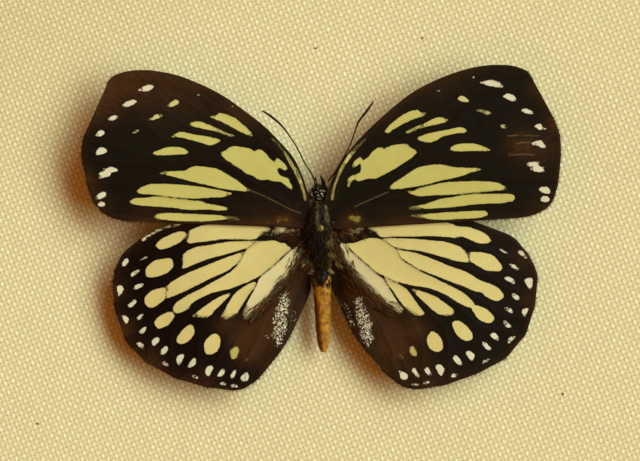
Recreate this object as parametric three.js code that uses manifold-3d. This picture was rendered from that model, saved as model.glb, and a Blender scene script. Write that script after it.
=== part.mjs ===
// A spread butterfly on its pin, over a soft board covered with stretched canvas.
// Millimetres, +Z up. X runs across the wings, +Y points to the head, and the origin is
// under the middle of the board, on the surface that the board lies on.

import * as THREE from 'three';
import { mergeVertices } from 'three/addons/utils/BufferGeometryUtils.js';
import Module from 'manifold-3d';

const wasm = await Module();
wasm.setup();

// Driving dimensions
const WINGSPAN = 90;
const BOARD_WIDTH = 148;
const BOARD_DEPTH = 105;
const CORE_THICKNESS = 10;
const CLOTH_THICKNESS = 0.6;
const HEM_WIDTH = 12;
const EDGE_RADIUS = 1.2;
const GAP = 0.3;
const CUT_PAST = 1;
const BODY_LIFT = 5.2;
const WING_LIFT = 6.9;
const WING_THICKNESS = 0.3;
const VEIN_RADIUS = 0.22;
const VEIN_TIP_RADIUS = 0.15;
const PIN_SHAFT_RADIUS = 0.25;
const PIN_HEAD_RADIUS = 0.62;
const PIN_HOLE_CLEARANCE = 0.1;
const PIN_ABOVE_BODY = 5.5;
const PIN_IN_BOARD = 8.5;
const PIN_POINT = 2;

// The wings and the body are drawn in the 640 by 461 frame of the picture they were measured
// in, x to the right and y down, where the wingspan is 478 steps.
const WINGSPAN_STEPS = 478;
const STEP = WINGSPAN / WINGSPAN_STEPS;
const FRAME_MIDDLE = { x: 320, y: 230.5 };
const PIN_AT = [321, 228];

const CANVAS_TOP = 2 * CLOTH_THICKNESS + 2 * GAP + CORE_THICKNESS;
const BODY_Z = CANVAS_TOP + BODY_LIFT;
const WING_Z = CANVAS_TOP + WING_LIFT;

const FINISHES = {
  cork: { color: 0xb08a5c, roughness: 0.9, metalness: 0 },
  canvas: { color: 0xdece99, roughness: 0.95, metalness: 0 },
  brass: { color: 0xb59a45, roughness: 0.35, metalness: 1 },
  darkBody: { color: 0x241c12, roughness: 0.8, metalness: 0 },
  ochreBody: { color: 0x98692a, roughness: 0.6, metalness: 0 },
  horn: { color: 0x1c120a, roughness: 0.5, metalness: 0 },
  wing: { color: 0x3c2c1d, roughness: 0.85, metalness: 0 },
};

// Outlines of the four wings, from the costal base outwards and back along the hind edge
const FOREWING_LEFT = [
  [307, 200], [304, 180], [295, 160], [283, 145], [268, 129.5], [249.5, 115], [230, 100],
  [213, 90], [190, 80], [165, 72.5], [140, 70], [120, 73.2], [109, 80.5], [104.5, 95],
  [96, 115], [90, 125], [84, 137], [82, 155], [86, 175], [91, 195], [100, 210],
  [113, 218], [130, 221.3], [170, 223], [220, 222.3], [260, 223.8], [300, 224],
];
const FOREWING_RIGHT = [
  [326, 200], [331.5, 181], [340.5, 163], [354, 145], [372, 126], [388, 111.7], [404, 98.6],
  [420, 87.6], [445, 76.2], [475, 67.1], [495, 64.7], [515, 66.3], [528, 72], [534, 84],
  [540, 99], [548, 110], [555, 121.5], [560, 138], [560.6, 155], [558.6, 173], [557, 187],
  [552.5, 201], [543, 210.7], [524, 217.2], [500, 219.2], [465, 220.6], [425, 221],
  [385, 223.6], [335, 226],
];
const HINDWING_LEFT = [
  [300, 228], [290, 221], [255, 218.5], [215, 218], [185, 222], [160, 227], [140, 238.5],
  [126, 249.5], [117, 264], [112, 284], [113, 305], [121, 329], [127, 345], [138, 354.5],
  [147, 364.2], [162, 370], [174, 378.7], [192, 381.5], [205, 387.8], [233, 391],
  [249, 386], [265, 371.5], [284, 346.5], [294, 328], [302, 311], [309, 294], [306, 262],
];
const HINDWING_RIGHT = [
  [336, 229], [345, 222], [380, 218.5], [425, 216.5], [455, 217.5], [483, 225.5],
  [508, 234.5], [520, 243], [532.5, 260], [538.7, 279], [536.8, 303], [530.5, 321],
  [526, 336.5], [513, 350.5], [502, 362], [486, 369.3], [474, 375.8], [455.5, 380.5],
  [440, 386.8], [416, 390], [396, 382.5], [376, 360], [360, 343.5], [349.5, 326.5],
  [340, 306], [332.5, 288], [334, 262],
];

// The main veins, on the left wings. The right wings carry their mirror images.
const FOREWING_VEINS = [
  [[300, 208], [288, 180], [268, 152], [240, 130], [205, 103], [160, 86], [122, 84]],
  [[300, 212], [280, 204], [250, 190], [230, 171], [217, 154], [190, 145], [150, 142], [92, 143]],
  [[224, 163], [180, 159], [140, 162], [90, 170]],
  [[250, 191], [205, 185.5], [160, 180], [96, 186]],
  [[271, 199], [225, 200], [160, 196], [102, 203]],
  [[300, 219], [240, 213], [165, 210.5], [110, 213]],
];
const HINDWING_VEINS = [
  [[292, 243], [257, 240], [220, 241], [180, 248], [128, 261]],
  [[257, 241], [246, 250], [210, 261], [175, 271], [120, 284]],
  [[246, 250], [240, 260], [220, 276], [175, 294], [124, 312]],
  [[292, 249], [262, 275], [231, 291], [200, 300], [165, 325], [140, 342]],
  [[231, 291], [216, 311], [190, 340], [167, 364]],
  [[258, 280], [245, 302], [222, 335], [196, 376]],
];
const VEIN_MIRROR = 639;
const VEIN_SUNK = 0.04;

// Solid helpers

function place([x, y], z) {
  return new THREE.Vector3((x - FRAME_MIDDLE.x) * STEP, (FRAME_MIDDLE.y - y) * STEP, z);
}

function solid(geometry) {
  const bare = geometry.clone();
  bare.deleteAttribute('normal');
  bare.deleteAttribute('uv');
  const merged = mergeVertices(bare, 1e-4);
  return new wasm.Manifold(new wasm.Mesh({
    numProp: 3,
    vertProperties: Float32Array.from(merged.attributes.position.array),
    triVerts: Uint32Array.from(merged.index.array),
  }));
}

function geometryOf(manifold) {
  const mesh = manifold.getMesh();
  const geometry = new THREE.BufferGeometry();
  geometry.setAttribute('position', new THREE.BufferAttribute(mesh.vertProperties, 3));
  geometry.setIndex(new THREE.BufferAttribute(mesh.triVerts, 1));
  geometry.computeVertexNormals();
  return geometry;
}

// A cylinder whose wall and caps are moved ring by ring: ring(t) gives the middle, the two
// half axes and their directions at t from 0 to 1.
function ringed(rings, sides, ring) {
  const geometry = new THREE.CylinderGeometry(1, 1, 1, sides, rings);
  const position = geometry.attributes.position;
  const point = new THREE.Vector3();
  for (let i = 0; i < position.count; i += 1) {
    point.fromBufferAttribute(position, i);
    const { middle, across, up } = ring(0.5 - point.y);
    const moved = middle.clone().addScaledVector(across, point.x).addScaledVector(up, point.z);
    position.setXYZ(i, moved.x, moved.y, moved.z);
  }
  return geometry;
}

function between(values, t) {
  const last = values.length - 1;
  const i = Math.min(Math.floor(t * last), last - 1);
  return THREE.MathUtils.lerp(values[i], values[i + 1], t * last - i);
}

function taperedTube(points, radii, sides, steps) {
  const curve = new THREE.CatmullRomCurve3(points, false, 'centripetal');
  const frames = curve.computeFrenetFrames(steps);
  return ringed(steps, sides, (t) => {
    const i = Math.round(t * steps);
    const radius = between(radii, t);
    return {
      middle: curve.getPointAt(t),
      across: frames.normals[i].clone().multiplyScalar(radius),
      up: frames.binormals[i].clone().multiplyScalar(radius),
    };
  });
}

// A body segment laid along Y. Each station is [frame x, frame y, half width, half height,
// drop of its middle below the body's axis].
function bodyLoft(stations, sides, grow = 0) {
  const last = stations.length - 1;
  return ringed(last, sides, (t) => {
    const index = Math.round(t * last);
    const [x, y, halfWidth, halfHeight, drop] = stations[index];
    const ends = { 0: grow, [last]: -grow };
    return {
      middle: place([x, y], BODY_Z - drop).add(new THREE.Vector3(0, ends[index] ?? 0, 0)),
      across: new THREE.Vector3(halfWidth + grow, 0, 0),
      up: new THREE.Vector3(0, 0, halfHeight + grow),
    };
  });
}

function roundedRectangle(width, depth, radius) {
  const shape = new THREE.Shape();
  const x = width / 2 - radius;
  const y = depth / 2 - radius;
  shape.absarc(x, y, radius, 0, Math.PI / 2);
  shape.absarc(-x, y, radius, Math.PI / 2, Math.PI);
  shape.absarc(-x, -y, radius, Math.PI, 1.5 * Math.PI);
  shape.absarc(x, -y, radius, 1.5 * Math.PI, 2 * Math.PI);
  return shape;
}

function slab(width, depth, radius, bottom, top) {
  const shape = roundedRectangle(width, depth, radius);
  const settings = { depth: top - bottom, bevelEnabled: false, curveSegments: 2 };
  return solid(new THREE.ExtrudeGeometry(shape, settings).translate(0, 0, bottom));
}

function pinHole(bottom, top) {
  const radius = PIN_SHAFT_RADIUS + PIN_HOLE_CLEARANCE;
  const bore = new THREE.CylinderGeometry(radius, radius, top - bottom, 10);
  const { x, y } = place(PIN_AT, 0);
  return solid(bore.rotateX(Math.PI / 2).translate(x, y, (top + bottom) / 2));
}

// Board and canvas

const CORE_BOTTOM = CLOTH_THICKNESS + GAP;
const CORE_TOP = CORE_BOTTOM + CORE_THICKNESS;
const CORE_WIDTH = BOARD_WIDTH - 2 * CORE_BOTTOM;
const CORE_DEPTH = BOARD_DEPTH - 2 * CORE_BOTTOM;
const PIN_TIP = CANVAS_TOP - PIN_IN_BOARD;

function boardCore() {
  const block = slab(CORE_WIDTH, CORE_DEPTH, EDGE_RADIUS / 2, CORE_BOTTOM, CORE_TOP);
  return block.subtract(pinHole(PIN_TIP - GAP, CORE_TOP + CUT_PAST));
}

function canvasCover() {
  const shape = roundedRectangle(BOARD_WIDTH, BOARD_DEPTH, EDGE_RADIUS * 1.5);
  const outside = new THREE.ExtrudeGeometry(shape, {
    depth: CANVAS_TOP - 2 * EDGE_RADIUS,
    bevelSize: EDGE_RADIUS,
    bevelOffset: -EDGE_RADIUS,
    bevelThickness: EDGE_RADIUS,
    bevelSegments: 2,
    curveSegments: 3,
  }).translate(0, 0, EDGE_RADIUS);
  const pocket = slab(
    CORE_WIDTH + 2 * GAP, CORE_DEPTH + 2 * GAP, EDGE_RADIUS / 2, CORE_BOTTOM - GAP, CORE_TOP + GAP,
  );
  const window = slab(
    BOARD_WIDTH - 2 * HEM_WIDTH, BOARD_DEPTH - 2 * HEM_WIDTH, EDGE_RADIUS, -CUT_PAST, CORE_BOTTOM,
  );
  return solid(outside).subtract(pocket).subtract(window)
    .subtract(pinHole(CORE_TOP, CANVAS_TOP + CUT_PAST));
}

// Body

const BODY_SIDES = 16;
const HEAD_SIDES = 14;
const THORAX = [
  [319, 203.5, 1.1, 1.2, -0.5], [319, 205.5, 1.9, 1.9, -0.3], [318.7, 210, 2.5, 2.5, 0],
  [318.5, 217, 2.95, 2.95, 0.1], [318.5, 226, 3.1, 3.1, 0.1], [318.8, 236, 3.05, 3.0, 0.2],
  [319.2, 245, 2.8, 2.7, 0.3], [319.8, 253, 2.4, 2.3, 0.4], [320.5, 260, 1.9, 1.9, 0.5],
  [320.8, 264.5, 1.2, 1.3, 0.5],
];
const HEAD = [
  [319.2, 184.5, 0.7, 0.7, 0.4], [319.4, 187.5, 1.35, 1.3, 0.3], [319.6, 191.5, 1.75, 1.6, 0.2],
  [319.7, 196, 1.8, 1.6, 0.1], [320, 199.5, 1.5, 1.3, 0], [320, 201.3, 0.9, 0.8, -0.1],
];
const EYES = [[311, 194.7], [328, 195.2]];
const EYE_RADII = [0.8, 1, 1.1];
const PALPS = [
  [[316.8, 188], [315.8, 183], [315.6, 176.5]],
  [[323.8, 188], [323.3, 182], [320.4, 175.5]],
];
const PALP_RADII = [0.4, 0.36, 0.1];
const PALP_DROP = 0.5;
const PALP_RISE = 0.35;
const TONGUE_MIDDLE = [319.3, 188];
const TONGUE_DROP = 2.1;
const TONGUE_TURNS = 1.6;
const TONGUE_STEPS = 16;
const TONGUE_RADIUS = 0.7;
const TONGUE_TIGHTENING = 0.55;
const TONGUE_RADII = [0.14, 0.14, 0.1];

// The abdomen narrows from the waist to the tip in rings, one to each segment
const ABDOMEN_START = [321.5, 266.5];
const ABDOMEN_TIP = [323.6, 353.3];
const ABDOMEN_HALF_WIDTHS = [0.9, 1.75, 1.72, 1.65, 1.6, 1.53, 1.47, 1.36, 1.15, 0.5];
const ABDOMEN_HALF_HEIGHTS = [1.0, 1.6, 1.55, 1.5, 1.45, 1.38, 1.3, 1.18, 1.0, 0.45];
const ABDOMEN_SIDES = 14;
const WAIST_DROP = 0.5;
const ABDOMEN_DROP = 0.9;
const RINGS_PER_SEGMENT = 2;
const SEGMENT_GROOVE = 0.05;

function abdomen() {
  const segments = ABDOMEN_HALF_WIDTHS.length - 1;
  const rings = segments * RINGS_PER_SEGMENT;
  const start = place(ABDOMEN_START, BODY_Z - WAIST_DROP);
  const tip = place(ABDOMEN_TIP, BODY_Z - WAIST_DROP - ABDOMEN_DROP);
  return solid(ringed(rings, ABDOMEN_SIDES, (t) => {
    const inGroove = Math.round(t * rings) % RINGS_PER_SEGMENT === 0;
    const swell = 1 - (inGroove ? SEGMENT_GROOVE : 0);
    return {
      middle: start.clone().lerp(tip, t),
      across: new THREE.Vector3(between(ABDOMEN_HALF_WIDTHS, t) * swell, 0, 0),
      up: new THREE.Vector3(0, 0, between(ABDOMEN_HALF_HEIGHTS, t) * swell),
    };
  }));
}

function thorax() {
  return solid(bodyLoft(THORAX, BODY_SIDES)).subtract(pinHole(CANVAS_TOP, BODY_Z + PIN_ABOVE_BODY));
}

function tongue() {
  const turns = [];
  const middle = place(TONGUE_MIDDLE, BODY_Z - TONGUE_DROP);
  for (let i = 0; i <= TONGUE_STEPS; i += 1) {
    const share = i / TONGUE_STEPS;
    const angle = 2 * Math.PI * TONGUE_TURNS * share;
    const radius = TONGUE_RADIUS * (1 - TONGUE_TIGHTENING * share);
    const turn = new THREE.Vector3(0, Math.cos(angle) * radius, Math.sin(angle) * radius);
    turns.push(middle.clone().add(turn));
  }
  return solid(taperedTube(turns, TONGUE_RADII, 4, TONGUE_STEPS));
}

function head() {
  let capsule = solid(bodyLoft(HEAD, HEAD_SIDES));
  for (const eye of EYES) {
    const ball = new THREE.SphereGeometry(1, 10, 6).scale(...EYE_RADII);
    const { x, y, z } = place(eye, BODY_Z);
    capsule = capsule.add(solid(ball.translate(x, y, z)));
  }
  for (const palp of PALPS) {
    const points = palp.map((point, i) => place(point, BODY_Z - PALP_DROP + PALP_RISE * i));
    capsule = capsule.add(solid(taperedTube(points, PALP_RADII, 6, 3)));
  }
  return capsule.add(tongue());
}

const ANTENNAE = {
  antenna_left: [
    [314.3, 180], [311.6, 174], [305.4, 164], [300, 153.4], [294.6, 143.6], [287.5, 133],
    [280.4, 124.4], [269.2, 115], [262, 110.7],
  ],
  antenna_right: [
    [328.3, 180.5], [333, 174.8], [339.3, 165], [346.4, 152.5], [351, 142.7], [354.5, 133],
    [358.5, 122], [366, 112], [373.7, 101.4],
  ],
};
const ANTENNA_RADII = [0.16, 0.14, 0.135, 0.135, 0.135, 0.15, 0.21, 0.25, 0.15];
const ANTENNA_LIFT = 0.9;
const ANTENNA_RISE = 1.6;

function antenna(route) {
  const last = route.length - 1;
  const points = route.map((point, i) => {
    const t = i / last;
    return place(point, BODY_Z + ANTENNA_LIFT + ANTENNA_RISE * Math.sin(0.5 * Math.PI * t));
  });
  return solid(taperedTube(points, ANTENNA_RADII, 5, 16));
}

// Legs fold back under the wings. Each route is [x, y, z] from the hip to the foot, x out
// from the middle of the body and z up from the canvas.
const LEGS = {
  fore: { route: [[0.7, 3.4, 2.0], [1.2, 4.9, 1.5], [0.9, 6.2, 2.1]], radius: 0.26 },
  mid: {
    route: [[1.2, 0.6, 1.7], [3.6, 2.2, 2.6], [5.4, -1.6, 2.3], [5.9, -5.6, 1.1], [5.4, -8.6, 0.5]],
    radius: 0.3,
  },
  hind: {
    route: [[1.1, -3, 1.8], [3.3, -3.6, 2.7], [4.2, -7.2, 2.2], [4.6, -11, 1.2], [4.9, -13.8, 0.5]],
    radius: 0.3,
  },
};
const LEG_TAPER = [1, 0.95, 0.6, 0.5, 0.35];
const BODY_MIDDLE = [319.5, 230.5];

function leg({ route, radius }, side) {
  const middle = place(BODY_MIDDLE, 0).x;
  const points = route.map(([x, y, z]) => (
    new THREE.Vector3(middle + side * x, y, CANVAS_TOP + z)
  ));
  const body = solid(taperedTube(points, LEG_TAPER.map((share) => share * radius), 5, 8));
  return body.subtract(solid(bodyLoft(THORAX, BODY_SIDES, GAP)));
}

// Pin

function pin() {
  const thoraxHeight = Math.max(...THORAX.map((station) => station[3]));
  const headZ = BODY_Z + thoraxHeight + PIN_ABOVE_BODY;
  const neck = Math.asin(PIN_SHAFT_RADIUS / PIN_HEAD_RADIUS);
  const profile = [[0, PIN_TIP], [PIN_SHAFT_RADIUS, PIN_TIP + PIN_POINT]];
  const arcSteps = 8;
  for (let i = 0; i <= arcSteps; i += 1) {
    const angle = neck + (Math.PI - neck) * (i / arcSteps);
    const radius = i === arcSteps ? 0 : PIN_HEAD_RADIUS * Math.sin(angle);
    profile.push([radius, headZ - PIN_HEAD_RADIUS * Math.cos(angle)]);
  }
  const points = profile.map(([r, z]) => new THREE.Vector2(r, z));
  const { x, y } = place(PIN_AT, 0);
  return solid(new THREE.LatheGeometry(points, 10).rotateX(Math.PI / 2).translate(x, y, 0));
}

// Wings: thin sheets, cambered across and rising a little to the tips. The hindwing slips
// under the forewing, droops at its outer margin, and its inner edge folds down beside the
// abdomen.

const TIP_RISE = 1.17;
const CAMBER = 0.7;
const WING_DEPTH = 30;
const HINDWING_SAG = 1.2;
const OUTER_DROOP = { depth: 1.8, from: 20, to: 42 };
const INNER_FOLD = { depth: 2.4, middle: 2, width: 3, from: 4, to: 12 };
const UNDER_FOREWING = WING_THICKNESS + GAP;
const WING_EDGE_STEPS = 64;
const CUTTER_DEPTH = 14;
const WING_CELL = 5;

function forewingHeight(x, y) {
  const reach = Math.abs(x) / (WINGSPAN / 2);
  const across = THREE.MathUtils.clamp((y + 1) / WING_DEPTH, 0, 1);
  const arch = (1 - Math.cos(2 * Math.PI * across)) / 2;
  return WING_Z + TIP_RISE * reach * (2 - reach) + CAMBER * arch;
}

function hindwingHeight(x, y) {
  const back = Math.max(-y / WING_DEPTH, 0);
  const { depth, middle, width, from, to } = INNER_FOLD;
  const besideBody = Math.exp(-(((Math.abs(x) - middle) / width) ** 2));
  const fold = depth * besideBody * THREE.MathUtils.smoothstep(-y, from, to);
  const droop = OUTER_DROOP.depth
    * THREE.MathUtils.smoothstep(Math.abs(x), OUTER_DROOP.from, OUTER_DROOP.to);
  return forewingHeight(x, y) - UNDER_FOREWING - HINDWING_SAG * back * back - fold - droop;
}

function edgeOf(outline, count) {
  const points = outline.map((point) => place(point, 0));
  return new THREE.CatmullRomCurve3(points, true, 'centripetal').getSpacedPoints(count).slice(1);
}

function bentSheet(edge, height, cell) {
  const box = new THREE.Box3().setFromPoints(edge).expandByScalar(1);
  const size = box.getSize(new THREE.Vector3());
  const middle = box.getCenter(new THREE.Vector3());
  const columns = Math.round(size.x / cell);
  const rows = Math.round(size.y / cell);
  const sheet = new THREE.BoxGeometry(size.x, size.y, WING_THICKNESS, columns, rows, 1);
  sheet.translate(middle.x, middle.y, 0);
  const position = sheet.attributes.position;
  for (let i = 0; i < position.count; i += 1) {
    const top = height(position.getX(i), position.getY(i));
    const below = position.getZ(i) > 0 ? 0 : WING_THICKNESS;
    position.setZ(i, top - below);
  }
  return solid(sheet);
}

function vein(route, height, mirrored) {
  const points = route.map(([x, y]) => {
    const point = place([mirrored ? VEIN_MIRROR - x : x, y], 0);
    return point.setZ(height(point.x, point.y) - VEIN_SUNK);
  });
  return solid(taperedTube(points, [VEIN_RADIUS, VEIN_TIP_RADIUS], 4, points.length + 2));
}

function wing(outline, height, veins, mirrored) {
  const edge = edgeOf(outline, WING_EDGE_STEPS);
  const shape = new THREE.Shape(edge.map((point) => new THREE.Vector2(point.x, point.y)));
  const cutter = new THREE.ExtrudeGeometry(shape, { depth: CUTTER_DEPTH, bevelEnabled: false });
  let sheet = bentSheet(edge, height, WING_CELL);
  for (const route of veins) {
    sheet = sheet.add(vein(route, height, mirrored));
  }
  return sheet
    .intersect(solid(cutter.translate(0, 0, WING_Z - CUTTER_DEPTH / 2)))
    .subtract(solid(bodyLoft(THORAX, BODY_SIDES, GAP)));
}

const WINGS = {
  forewing_left: [FOREWING_LEFT, forewingHeight, FOREWING_VEINS, false],
  forewing_right: [FOREWING_RIGHT, forewingHeight, FOREWING_VEINS, true],
  hindwing_left: [HINDWING_LEFT, hindwingHeight, HINDWING_VEINS, false],
  hindwing_right: [HINDWING_RIGHT, hindwingHeight, HINDWING_VEINS, true],
};

// Assembly

const group = new THREE.Group();

function add(name, body, finish) {
  const material = new THREE.MeshStandardMaterial(FINISHES[finish]);
  const mesh = new THREE.Mesh(geometryOf(body), material);
  mesh.name = name;
  group.add(mesh);
}

add('mount_board', boardCore(), 'cork');
add('canvas_cover', canvasCover(), 'canvas');
add('pin', pin(), 'brass');
add('thorax', thorax(), 'darkBody');
add('head', head(), 'darkBody');
add('abdomen', abdomen(), 'ochreBody');
for (const [name, route] of Object.entries(ANTENNAE)) {
  add(name, antenna(route), 'horn');
}
for (const [name, settings] of Object.entries(WINGS)) {
  add(name, wing(...settings), 'wing');
}
for (const [name, settings] of Object.entries(LEGS)) {
  add(`leg_${name}_left`, leg(settings, -1), 'horn');
  add(`leg_${name}_right`, leg(settings, 1), 'horn');
}

export default group;
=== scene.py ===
"""A spread butterfly, held by a brass pin above a board that is covered with stretched canvas.

Lengths are millimetres until a mesh is made. The insect is drawn in the 640 by 461 frame it was
measured in, x to the right and y down, where the wingspan is 478 steps.
"""

import math

import bpy
import numpy as np
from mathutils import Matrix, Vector, geometry, kdtree


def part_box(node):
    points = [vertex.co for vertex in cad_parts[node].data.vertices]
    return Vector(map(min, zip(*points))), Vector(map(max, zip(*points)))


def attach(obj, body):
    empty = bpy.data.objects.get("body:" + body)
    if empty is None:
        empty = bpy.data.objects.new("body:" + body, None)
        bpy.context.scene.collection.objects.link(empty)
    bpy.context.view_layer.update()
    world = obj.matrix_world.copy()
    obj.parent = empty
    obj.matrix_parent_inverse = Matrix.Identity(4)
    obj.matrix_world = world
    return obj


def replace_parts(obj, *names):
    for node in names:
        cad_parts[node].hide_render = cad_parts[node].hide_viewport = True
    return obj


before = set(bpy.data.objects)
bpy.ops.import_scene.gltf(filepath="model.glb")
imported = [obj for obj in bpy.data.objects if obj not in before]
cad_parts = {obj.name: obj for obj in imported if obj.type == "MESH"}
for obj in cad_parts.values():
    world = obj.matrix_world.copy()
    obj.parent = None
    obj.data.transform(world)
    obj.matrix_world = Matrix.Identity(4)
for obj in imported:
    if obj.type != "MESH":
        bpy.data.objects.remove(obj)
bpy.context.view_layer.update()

MM = 0.001
WINGSPAN = 90.0
WINGSPAN_STEPS = 478
STEP = WINGSPAN / WINGSPAN_STEPS
FRAME_SIZE = (640, 461)
FRAME_MIDDLE = (320, 230.5)
PIN_AT = (321, 228)

CANVAS_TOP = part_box("canvas_cover")[1].z / MM
BODY_LIFT = 5.2
WING_LIFT = 6.9
BODY_Z = CANVAS_TOP + BODY_LIFT
WING_Z = CANVAS_TOP + WING_LIFT

# The four wings, from the front of the root outwards and back along the hind edge

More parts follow.
